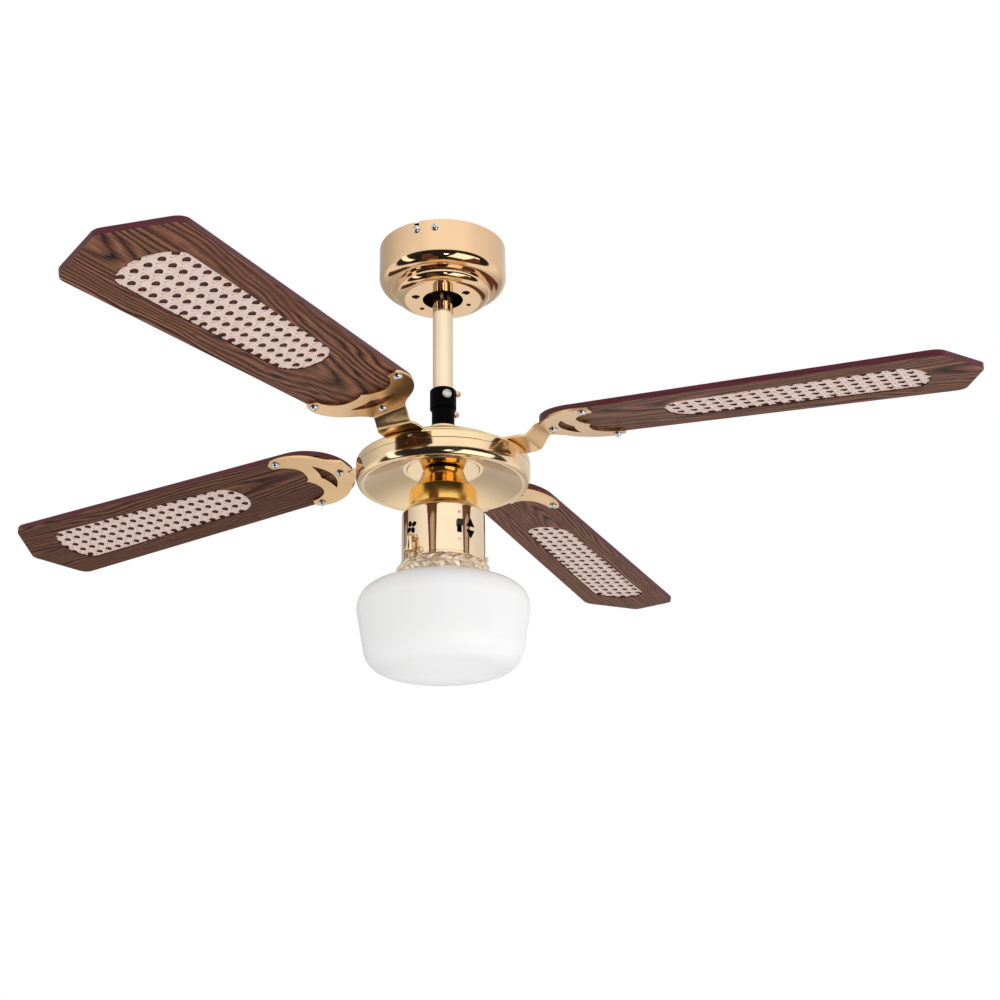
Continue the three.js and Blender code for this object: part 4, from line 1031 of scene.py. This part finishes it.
def iron_mesh(place, flange):
    """The iron's plate, cut flat, then bent beyond the motor and twisted to the blade's pitch."""
    azimuth = math.atan2(place[1][0], place[0][0])
    droop = math.asin(-place[2][0])
    pivot = place.translation.z
    arms = [(IRON_ARM_RADIUS, side * IRON_ARM_SPREAD) for side in (1, -1)]
    screws = [*arms, (IRON_HEEL_SCREW_RADIUS, 0)]
    holes = [arc((u * math.cos(droop), v), (2.6, 2.6), 0, 360 - 22.5, 15) for u, v in screws]
    bm = plate_bmesh(iron_outline(), [crescent_outline(), *holes], -IRON_THICKNESS / 2, IRON_THICKNESS / 2)
    sliced(bm, np.arange(IRON_INNER_BEND - 4, IRON_OUTER_BEND + 4, 0.5))
    foot = flange + SEAT_GAP + IRON_THICKNESS / 2

    def middle(x):
        on_blade = pivot - x * math.tan(droop) - SEAT_GAP - IRON_THICKNESS / 2
        return foot + (on_blade - foot) * smooth_share(x, IRON_INNER_BEND - 2.5, IRON_OUTER_BEND + 1.5)

    pitch = math.asin(place[2][1] / math.cos(droop))
    axis = Vector((math.cos(droop), 0, -math.sin(droop)))
    centre = Vector((0, 0, pivot))
    for v in bm.verts:
        x, y, lift = v.co
        slope = math.atan2(middle(x + 0.1) - middle(x - 0.1), 0.2)
        point = Vector((x - lift * math.sin(slope), y, middle(x) + lift * math.cos(slope)))
        turn = pitch * smooth_share(x, IRON_INNER_BEND, IRON_OUTER_BEND)
        v.co = Matrix.Rotation(turn, 3, axis) @ (point - centre) + centre
    bm.transform(place.inverted() @ about_z(azimuth))
    for face in bm.faces:
        face.material_index = 0
    return mesh_from(bm, "blade_iron", 35, place)


def wood_and_cane(number, place):
    """A blade with a recess in its underside, and the cane that lies in it."""
    low, high = local_span(f"blade_{number}", place)
    cane_low, cane_high = local_span(f"cane_panel_{number}", place)
    half = blade_widths(low[0], high[0])
    recess = cane_outline(cane_low[0], cane_high[0], half, SEAT_GAP)
    wood = plate_bmesh(blade_outline(low[0], high[0], half), (), 0, high[2], (recess, CANE_RECESS))
    piece = new_piece(f"wood_blade_{number}", mesh_from(wood, "blade", 30, place), f"blade_{number}",
                      [walnut(number), EDGE_BAND, STAIN])
    even_shading(eased_edges(piece, 0.7))
    weave = cane_bmesh(cane_outline(cane_low[0], cane_high[0], half), cane_low[2], cane_high[2])
    new_piece(f"cane_weave_{number}", mesh_from(weave, "cane", 60, place), f"cane_panel_{number}", CANE)


def blades():
    flange = corners("blade_iron_1")[0].z - SEAT_GAP
    screw = screw_mesh("blade_screw", head=4.3, height=3.0, shank=2.0, length=6.2)
    foot_screw = screw_mesh("foot_screw", head=3.6, height=2.2, shank=1.8, length=3)
    for number in BLADES:
        place = blade_place(number)
        wood_and_cane(number, place)
        iron = new_piece(f"iron_{number}", iron_mesh(place, flange), f"blade_iron_{number}", IRON_BRASS)
        even_shading(eased_edges(iron, 0.35))
        for index in (1, 2, 3):
            node = f"blade_screw_{number}_{index}"
            point = place.inverted() @ centre_of(node)
            seat = place @ Matrix.Translation((point.x, point.y, -IRON_THICKNESS - 2 * SEAT_GAP))
            turn = about_z(math.radians(37 * index + 20 * number))
            spot = seat @ Matrix.Rotation(math.pi, 4, "X") @ turn
            placed_screw(f"blade_pan_screw_{number}_{index}", screw, NICKEL, spot, node)
        for index, side in enumerate((-1, 1), 1):
            seat = (IRON_FOOT_SCREW[0], side * IRON_FOOT_SCREW[1], flange + SEAT_GAP + IRON_THICKNESS)
            spot = about_z(math.atan2(place[1][0], place[0][0])) @ Matrix.Translation(seat)
            name = f"iron_foot_screw_{number}_{index}"
            placed_screw(name, foot_screw, ZINC, spot, body="rotor", slot="zinc_steel")


# ---- Switch housing ----


def housing_neck():
    """A bell that flares from under the motor, then drops straight to the cup."""
    low, high = corners("switch_housing_neck")
    top, skirt = high.z, high.z - NECK_FLARE
    bore = radius_of("motor_shaft") + SEAT_GAP
    start = (NECK_TOP_RADIUS, top - 1.5)
    flare = [start] + bezier(
        start, (NECK_TOP_RADIUS + 1.5, top - NECK_FLARE * 0.43),
        (NECK_SKIRT_RADIUS - 6.5, top - NECK_FLARE * 0.7), (NECK_SKIRT_RADIUS, skirt), steps=24)
    inside = [(r - SHEET, z) for r, z in flare[::-1]]
    inside[-1] = (inside[-1][0], top - SHEET)
    profile = [
        (bore, top), (NECK_TOP_RADIUS - 1.5, top), *flare, (NECK_SKIRT_RADIUS, low.z + 0.6),
        (NECK_SKIRT_RADIUS + 0.5, low.z + 0.3), (NECK_SKIRT_RADIUS + 0.5, low.z),
        (NECK_SKIRT_RADIUS - SHEET, low.z), *inside, (bore, top - SHEET),
    ]
    turned_piece("housing_neck", profile, "switch_housing_neck", BRASS_NECK)


def switch_cup():
    low, high = corners("switch_housing")
    radius, top, bottom, edge = high.x, high.z, low.z, CUP_EDGE
    bore = radius_of("motor_shaft") + SEAT_GAP
    inner = radius - SHEET
    profile = [
        (bore, top), *quarter_round((radius, top - edge), (radius - edge, top), 12)[::-1],
        (radius, bottom + 2.6), (radius + 0.25, bottom + 2.2), (radius + 0.25, bottom + 0.4),
        (radius, bottom), (inner, bottom),
        *quarter_round((inner, top - edge), (radius - edge, top - SHEET)), (bore, top - SHEET),
    ]
    azimuth, level = azimuth_of("reverse_switch_body"), top - REVERSE_DROP
    cutters = [transformed(block_bmesh((8, 5, 13.5), (radius, 0, level), edge=0.3), about_z(azimuth))]
    for switch in ("fan_pull_switch", "light_pull_switch"):
        cutters.append(transformed(rod_bmesh(3.1, -5, 5), aimed(azimuth_of(switch), radius, top - PULL_DROP)))
    turned_piece("switch_cup", profile, "switch_housing", BRASS_CUP, 192, cutters)
    small = screw_mesh("switch_screw", head=1.5, height=0.9, shank=1.0, length=3)
    for index, rise in enumerate((14.2, -13.6), 1):
        place = aimed(azimuth, radius, level + rise)
        placed_screw(f"reverse_switch_screw_{index}", small, NICKEL, place, body="stator", slot="zinc_steel")
    marks(radius, azimuth, level)


def marks(wall, azimuth, level):
    """Up and down arrows beside the reversing switch, and a small fan over the pull chain."""
    across = azimuth + math.radians(17.5)
    arrow = [(-5.2, -4.1), (5.2, -4.1), (0.35, 4.3), (-0.35, 4.3)]
    curved_mark("arrow_up", arrow, across, level + 5.2, wall)
    curved_mark("arrow_down", [(x, -y) for x, y in arrow[::-1]], across, level - 6.6, wall)
    pull = azimuth_of("fan_pull_switch") - math.radians(5)
    for index in range(4):
        petal = arc((4.2, 0.8), (3.2, 2.5), 0, 330, 16)
        turn = math.radians(90 * index + 20)
        c, s = math.cos(turn), math.sin(turn)
        loop = [(x * c - y * s, x * s + y * c) for x, y in petal]
        curved_mark(f"fan_mark_blade_{index + 1}", loop, pull, level + 2.6, wall)


def reverse_knob():
    """The sliding knob: its shank in the slot, and a ribbed cap outside the wall."""
    low, high = corners("reverse_slider")
    wall = radius_of("switch_housing")
    height = high.z - low.z
    middle = level_of("reverse_slider")
    shank = block_bmesh((5.5, 4.4, height - 1.2), (wall - 1.4, 0, middle), edge=0.3)
    cap = block_bmesh((2.6, 6.0, height), (wall + 1.7, 0, middle), edge=0.6, segments=3)
    ribs = [block_bmesh((0.5, 5.0, 0.7), (wall + 3.0, 0, middle + rise), edge=0.15)
            for rise in (-1.6, 0, 1.6)]
    turn = about_z(azimuth_of("reverse_slider"))
    joined_piece("reverse_knob", [shank, cap, *ribs], turn, "reverse_slider", BLACK_PLASTIC)


def pull_switches():
    """Each switch: its box behind the wall, the nipple and nut through it, and the brass bell below."""
    wall = radius_of("switch_housing")
    level = corners("switch_housing")[1].z - PULL_DROP
    sideways = Matrix.Rotation(math.pi / 2, 4, "Y")
    bell_profile = [
        (0, 1.6), (1.9, 1.3), (2.8, -0.4), (2.8, -3.4),
        *bezier((2.8, -3.4), (3.0, -8), (4.9, -11.5), (4.9, -15.6)), (4.1, -15.6),
        *bezier((4.1, -15.6), (4.0, -11.5), (1.9, -8), (1.9, -2.8)), (1.9, -1), (0, -1),
    ]
    for kind in ("fan", "light"):
        switch = f"{kind}_pull_switch"
        turn = about_z(azimuth_of(switch))
        hanging = turn @ Matrix.Translation((wall + PULL_REACH, 0, 0))
        case = block_bmesh((16, 18, 20), (wall - SHEET - 12, 0, level), edge=1.0, segments=3)
        joined_piece(f"{kind}_switch_case", [case], turn, switch, BLACK_PLASTIC)
        bell = turned_bmesh(eased(bell_profile, 0.2, 2), 48)
        nipple = transformed(rod_bmesh(2.7, -8.5, -2.4, 32), sideways)
        nut = transformed(hexagon(4.6, -5.9, -3.6), sideways)
        outlet = hanging @ Matrix.Translation((0, 0, level))
        parts = [bell, nipple, nut]
        joined_piece(f"{kind}_pull_outlet", parts, outlet, None, BRASS_CUP, body="stator", slot="brass")
        chain(kind, hanging)


def chain(kind, place):
    """Beads on links inside the bell, with a larger bead as the pull."""
    low, high = corners(f"{kind}_pull_chain")
    bead, pull, count = 1.1, 1.8, 8
    pitch = (high.z - low.z - 2 * pull) / count
    parts = [rod_bmesh(0.35, low.z + pull, high.z - 0.3, 10, crown=0.1)]
    for i in range(count):
        ball = turned_bmesh(arc((0, 0), (bead, bead), -90, 90, 10), 20)
        parts.append(transformed(ball, Matrix.Translation((0, 0, high.z - bead - i * pitch))))
    pear = [(0, -pull), *arc((0, 0), (pull, pull), -90, 30, 10)[1:],
            *bezier((1.56, 0.9), (1.1, 2.0), (0.6, 2.6), steps=5), (0, 2.8)]
    parts.append(transformed(turned_bmesh(pear, 28), Matrix.Translation((0, 0, low.z + pull))))
    joined_piece(f"{kind}_bead_chain", parts, place, f"{kind}_pull_chain", BRASS_ORNAMENT_PAINTED_HIGHLIGHT)


# ---- Light ----


def leaf_bmesh(length, width, lift, columns=10, rows=6):
    """A leaf with a midrib: X along the leaf, Y across it, Z out."""
    bm = bmesh.new()
    rings = []
    for i in range(columns + 1):
        t = i / columns
        arch = max(0.0, math.sin(math.pi * t ** 0.8))
        half = LEAF_TIP + (width / 2 - LEAF_TIP) * arch ** 0.85
        front = []
        for j in range(rows + 1):
            s = 2 * j / rows - 1
            rib = 0.16 * lift * (1 - abs(s)) ** 4
            front.append((length * t, s * half, lift * arch ** 0.6 * (1 - 0.75 * s * s) + rib))
        back = [(x, y, -0.4) for x, y, _ in front[::-1]]
        rings.append([bm.verts.new(p) for p in front + back])
    skin(bm, rings, capped=True)
    return bm


def fitter_ring():
    """The ring that holds the glass: a sleeve inside the cup, a web, a skirt, and three screws."""
    low, high = corners("fitter_ring")
    foot, bottom = high.x, low.z
    cup = radius_of("switch_housing")
    top = corners("switch_housing")[0].z - SEAT_GAP
    bore, spigot = foot - RING_WALL, cup - SHEET - SEAT_GAP
    hole = HOLDER_RADIUS + SEAT_GAP
    web_top, web_bottom = top - 1.2, top - 3.0
    profile = [
        (hole, web_bottom), (cup - 1.5, web_bottom), (bore, web_bottom - 4), (bore, bottom), (foot, bottom),
        (foot, bottom + 1.4), (foot - 0.8, bottom + 2.2), (foot - 1.4, top - 5), (cup + 0.3, top - 1.5),
        (cup, top), (spigot, top), (spigot, high.z), (spigot - SHEET, high.z), (spigot - SHEET, web_top),
        (hole, web_top),
    ]
    turned_piece("glass_ring", profile, "fitter_ring", BRASS_ORNAMENT_PAINTED_HIGHLIGHT)
    garland(foot, cup, top)
    screw = screw_mesh("fitter_screw", head=3.4, height=2.8, shank=1.6, length=6)
    for index in range(3):
        place = aimed(math.radians(RING_SCREW_ANGLE + 120 * index), cup + 0.3, top + 4.8)
        placed_screw(f"fitter_screw_{index + 1}", screw, BRASS_ORNAMENT_PAINTED_HIGHLIGHT, place, body="stator", slot="brass")


def garland(foot, cup, top):
    """A laurel of paired leaves and berries on a stem, laid round the outside of the ring."""
    middle = top - GARLAND_DROP
    lower, upper = foot - 1.4, cup + 0.3

    def wrapped(bm, azimuth, level):
        """Lays a relief on the ring's flared wall, at a height."""
        for v in bm.verts:
            height = level + v.co.y
            wall = lower + (upper - lower) * smooth_share(height, top - 6, top - 1)
            angle = azimuth + v.co.x / foot
            v.co = ((wall + v.co.z) * math.cos(angle), (wall + v.co.z) * math.sin(angle), height)
        return bm

    relief = []
    for i in range(LEAF_PAIRS):
        for side, shift in ((1, 0.0), (-1, 0.45)):
            azimuth = 2 * math.pi * (i + shift) / LEAF_PAIRS
            leaf = leaf_bmesh(length=17, width=6.6, lift=2.3)
            leaf.transform(about_z(math.radians(24 * side)))
            relief.append(wrapped(leaf, azimuth, middle + 0.6 * side))
            berry = turned_bmesh(arc((0, 0), (1.25, 1.6), -90, 90, 8), 16)
            berry.transform(Matrix.Translation((9.5, -5.4 * side, 0.9)))
            relief.append(wrapped(berry, azimuth, middle))
    mesh = mesh_from(merged(*relief), "leaf_garland", 50)
    new_piece("leaf_garland", mesh, None, BRASS_ORNAMENT_PAINTED_HIGHLIGHT, body="stator", slot="brass")
    stem = eased([(foot - 1.8, middle - 1), (foot + 0.1, middle - 1), (foot + 0.7, middle),
                  (foot + 0.1, middle + 1), (foot - 1.8, middle + 1)])
    mesh = mesh_from(turned_bmesh(stem), "garland_stem")
    new_piece("garland_stem", mesh, None, BRASS_ORNAMENT_PAINTED_HIGHLIGHT, body="stator", slot="brass")


def shade():
    """A closed bowl of glass: a neck, a shoulder, sides that draw in, and a flat bottom."""
    low, high = corners("shade")
    ring_low, ring_high = corners("fitter_ring")
    radius, bottom = high.x, low.z
    neck = ring_high.x - RING_WALL - GLASS_GAP
    neck_end, widest = ring_low.z - 1.2, ring_low.z - 30
    edge, lower = bottom + 27, radius - 7
    outside = outline(
        (neck, high.z), [(neck, neck_end)], [(neck + 1, neck_end - 1.8), (neck + 8, neck_end - 2.4)],
        [(radius - 14, neck_end - 3.5), (radius, neck_end - 10), (radius, widest)], [(lower, edge)],
        [(lower - 3, bottom + 12), (lower - 13, bottom + 7.5), (lower - 24, bottom + 5.5)],
        [(lower * 0.35, bottom), (0, bottom)], steps=18)
    inside = []
    for i, (r, z) in enumerate(outside):
        r0, z0 = outside[max(i - 1, 0)]
        r1, z1 = outside[min(i + 1, len(outside) - 1)]
        share = GLASS_WALL / math.hypot(r1 - r0, z1 - z0)
        inside.append((max(r + share * (z1 - z0), 0), z - share * (r1 - r0)))
    inside[0], inside[-1] = (neck - GLASS_WALL, high.z), (0, bottom + GLASS_WALL)
    turned_piece("glass_shade", outside + inside[::-1], "shade", OPAL, 192)


# ---- CAD nodes that keep their own shape ----


def dress_kept_nodes():
    """Pieces whose shape is right as it is get their finish and eased edges."""
    finishes = {
        # The hanger bracket is black so that the canopy's hole shows dark inside: partly its finish, partly
        # painted shade.
        BLACK_PAINT: ["hanger_bracket"], BLACK_PLASTIC: ["hanger_ball", "reverse_switch_body"],
        GREY_PLASTIC: ["terminal_block", "motor_capacitor"], porcelain(): ["lamp_holder"],
        ZINC: ["hanger_cross_pin", "motor_shaft", "upper_bearing", "lower_bearing"],
        laminated_steel(): ["stator_core", "rotor_ring"], wound_copper(): ["stator_windings"],
        frosted_glass(): ["bulb"],
    }
    for material, nodes in finishes.items():
        for node in nodes:
            piece = frame["nodes"][node]
            piece.data.materials.clear()
            piece.data.materials.append(material)
            eased_edges(piece, 0.3, 40)


# ---- Studio ----


def camera():
    """The viewer stands in front of the fan, below it, and looks up at it."""
    yaw, pitch, roll = (math.radians(a) for a in VIEW_ANGLES)
    forward = Vector((math.sin(yaw) * math.cos(pitch), math.cos(yaw) * math.cos(pitch), math.sin(pitch)))
    level = Vector((math.cos(yaw), -math.sin(yaw), 0))
    up = level.cross(forward)
    right = level * math.cos(roll) + up * math.sin(roll)
    up = up * math.cos(roll) - level * math.sin(roll)
    made = in_scene("camera", bpy.data.cameras.new("camera"))
    made.matrix_world = Matrix((right, up, -forward)).transposed().to_4x4()
    made.location = Vector(VIEW_PLACE) * MM
    made.data.lens, made.data.sensor_width = VIEW_LENS, 36
    bpy.context.scene.camera = made


def area_light(name, place, size, power):
    """A rectangular lamp that faces the fan. Its place and its size, across and up, are in metres."""
    data = bpy.data.lights.new(name, "AREA")
    data.shape, data.energy = "RECTANGLE", power
    data.size, data.size_y = size
    lamp = in_scene(name, data)
    lamp.location = place
    lamp.rotation_euler = (Vector((0, 0, -0.2)) - Vector(place)).to_track_quat("-Z", "Y").to_euler()


def world():
    """White where the camera looks. Metal mirrors a room with a dark patch low in front of the fan."""
    made = bpy.data.worlds.new("studio")
    bpy.context.scene.world = made
    made.use_nodes = True
    tree = made.node_tree

    def node(kind, links=None, values=None, **settings):
        return add_node(tree, kind, links, values, **settings).outputs

    def combined(operation, *sources):
        return node("Math", dict(enumerate(sources)), operation=operation)[0]

    def product(first, second):
        return combined("MULTIPLY", first, second)

    def spread(source, start, end, first, last):
        """A smooth change of value between two values of the source."""
        levels = {"From Min": start, "From Max": end, "To Min": first, "To Max": last}
        return node("MapRange", {"Value": source}, levels, interpolation_type="SMOOTHSTEP")["Result"]

    way = node("TexCoord")["Generated"]
    x, y, z = node("SeparateXYZ", {"Vector": way})
    aside = product(x, x)
    # The room is dimmer behind the fan: above the horizon mostly on the left, below it at both sides.
    above = product(spread(y, -0.7, 0.75, 0.0, 0.5), spread(x, -0.3, 0.35, 1.0, 0.45))
    below = product(spread(y, 0.3, 0.85, 0.0, 0.5), spread(aside, 0.004, 0.025, 0.1, 1.0))
    dimmer = node("Mix", {0: spread(z, -0.2, 0.1, 0.0, 1.0), 2: below, 3: above}, data_type="FLOAT")[0]
    # It is a little brighter in front, above the horizon, except at the far left.
    front = product(spread(y, -0.75, -0.35, 0.14, 0.0), spread(x, -0.6, -0.2, 0.0, 1.0))
    brighter = product(front, spread(z, 0.0, 0.25, 0.0, 1.0))
    backdrop = combined("SUBTRACT", brighter, dimmer)
    # The dark patch is wider than it is high.
    toward = node("VectorMath", {0: way}, {1: (0, -0.731, -0.682)}, operation="DOT_PRODUCT")["Value"]
    widened = node("Math", {0: aside, 2: toward}, {1: 0.5}, operation="MULTIPLY_ADD")[0]
    lobe = spread(widened, 0.6, 0.68, 1.0, 0.02)
    room = combined("MULTIPLY_ADD", backdrop, lobe, lobe)
    rays = node("LightPath")
    lit = node("Mix", {0: rays["Is Glossy Ray"], 3: room}, {2: 0.87}, data_type="FLOAT")[0]
    seen = combined("MAXIMUM", rays["Is Camera Ray"], rays["Is Transmission Ray"])
    strength = node("Mix", {0: seen, 2: lit}, {3: 1.0}, data_type="FLOAT")[0]
    shader = tree.nodes["Background"]
    shader.inputs["Color"].default_value = (1, 1, 1, 1)
    tree.links.new(strength, shader.inputs["Strength"])


def floor():
    """A pale floor that keeps the fan's shadow and fades to white far away. Metal doesn't mirror it."""
    bm = bmesh.new()
    bmesh.ops.create_circle(bm, cap_ends=True, radius=FLOOR_RADIUS, segments=96)
    bmesh.ops.translate(bm, vec=(0, 0, FLOOR_LEVEL), verts=bm.verts)
    made = in_scene("studio_floor", mesh_from(bm, "studio_floor"))
    paint = Shade("pale_floor", (0.82, 0.82, 0.82), 0.6)
    paint.bump(paint.noise(30), 0.05, 0.001)
    away = paint.node("VectorMath", {0: paint.node("TexCoord").outputs["Object"]}, operation="LENGTH")
    fade = paint.node("MapRange", {"Value": away.outputs["Value"]},
                      {"From Min": 3.0, "From Max": 7.5, "To Max": 0.5}, interpolation_type="SMOOTHSTEP")
    seen = paint.node("LightPath").outputs["Is Camera Ray"]
    glow = paint.node("Math", {0: fade.outputs["Result"], 1: seen}, operation="MULTIPLY")
    paint.link(glow.outputs[0], "Emission Strength")
    made.data.materials.append(paint.material)
    made.visible_glossy = False


def studio():
    bpy.context.scene.view_settings.view_transform = "Standard"
    floor()
    world()
    area_light("softbox", (1.24, -1.2, -1.4), (1.7, 1.75), 15)
    area_light("small_lamp", (0.17, -1.49, -0.98), (0.19, 0.19), 0.8)
    area_light("window", (-1.6, -0.64, -0.73), (0.34, 1.8), 3)


camera()
studio()
canopy()
downrod()
coupling()
clevis_bolt()
set_screws()
upper_cover()
lower_cover()
blades()
housing_neck()
switch_cup()
reverse_knob()
pull_switches()
fitter_ring()
shade()
dress_kept_nodes()
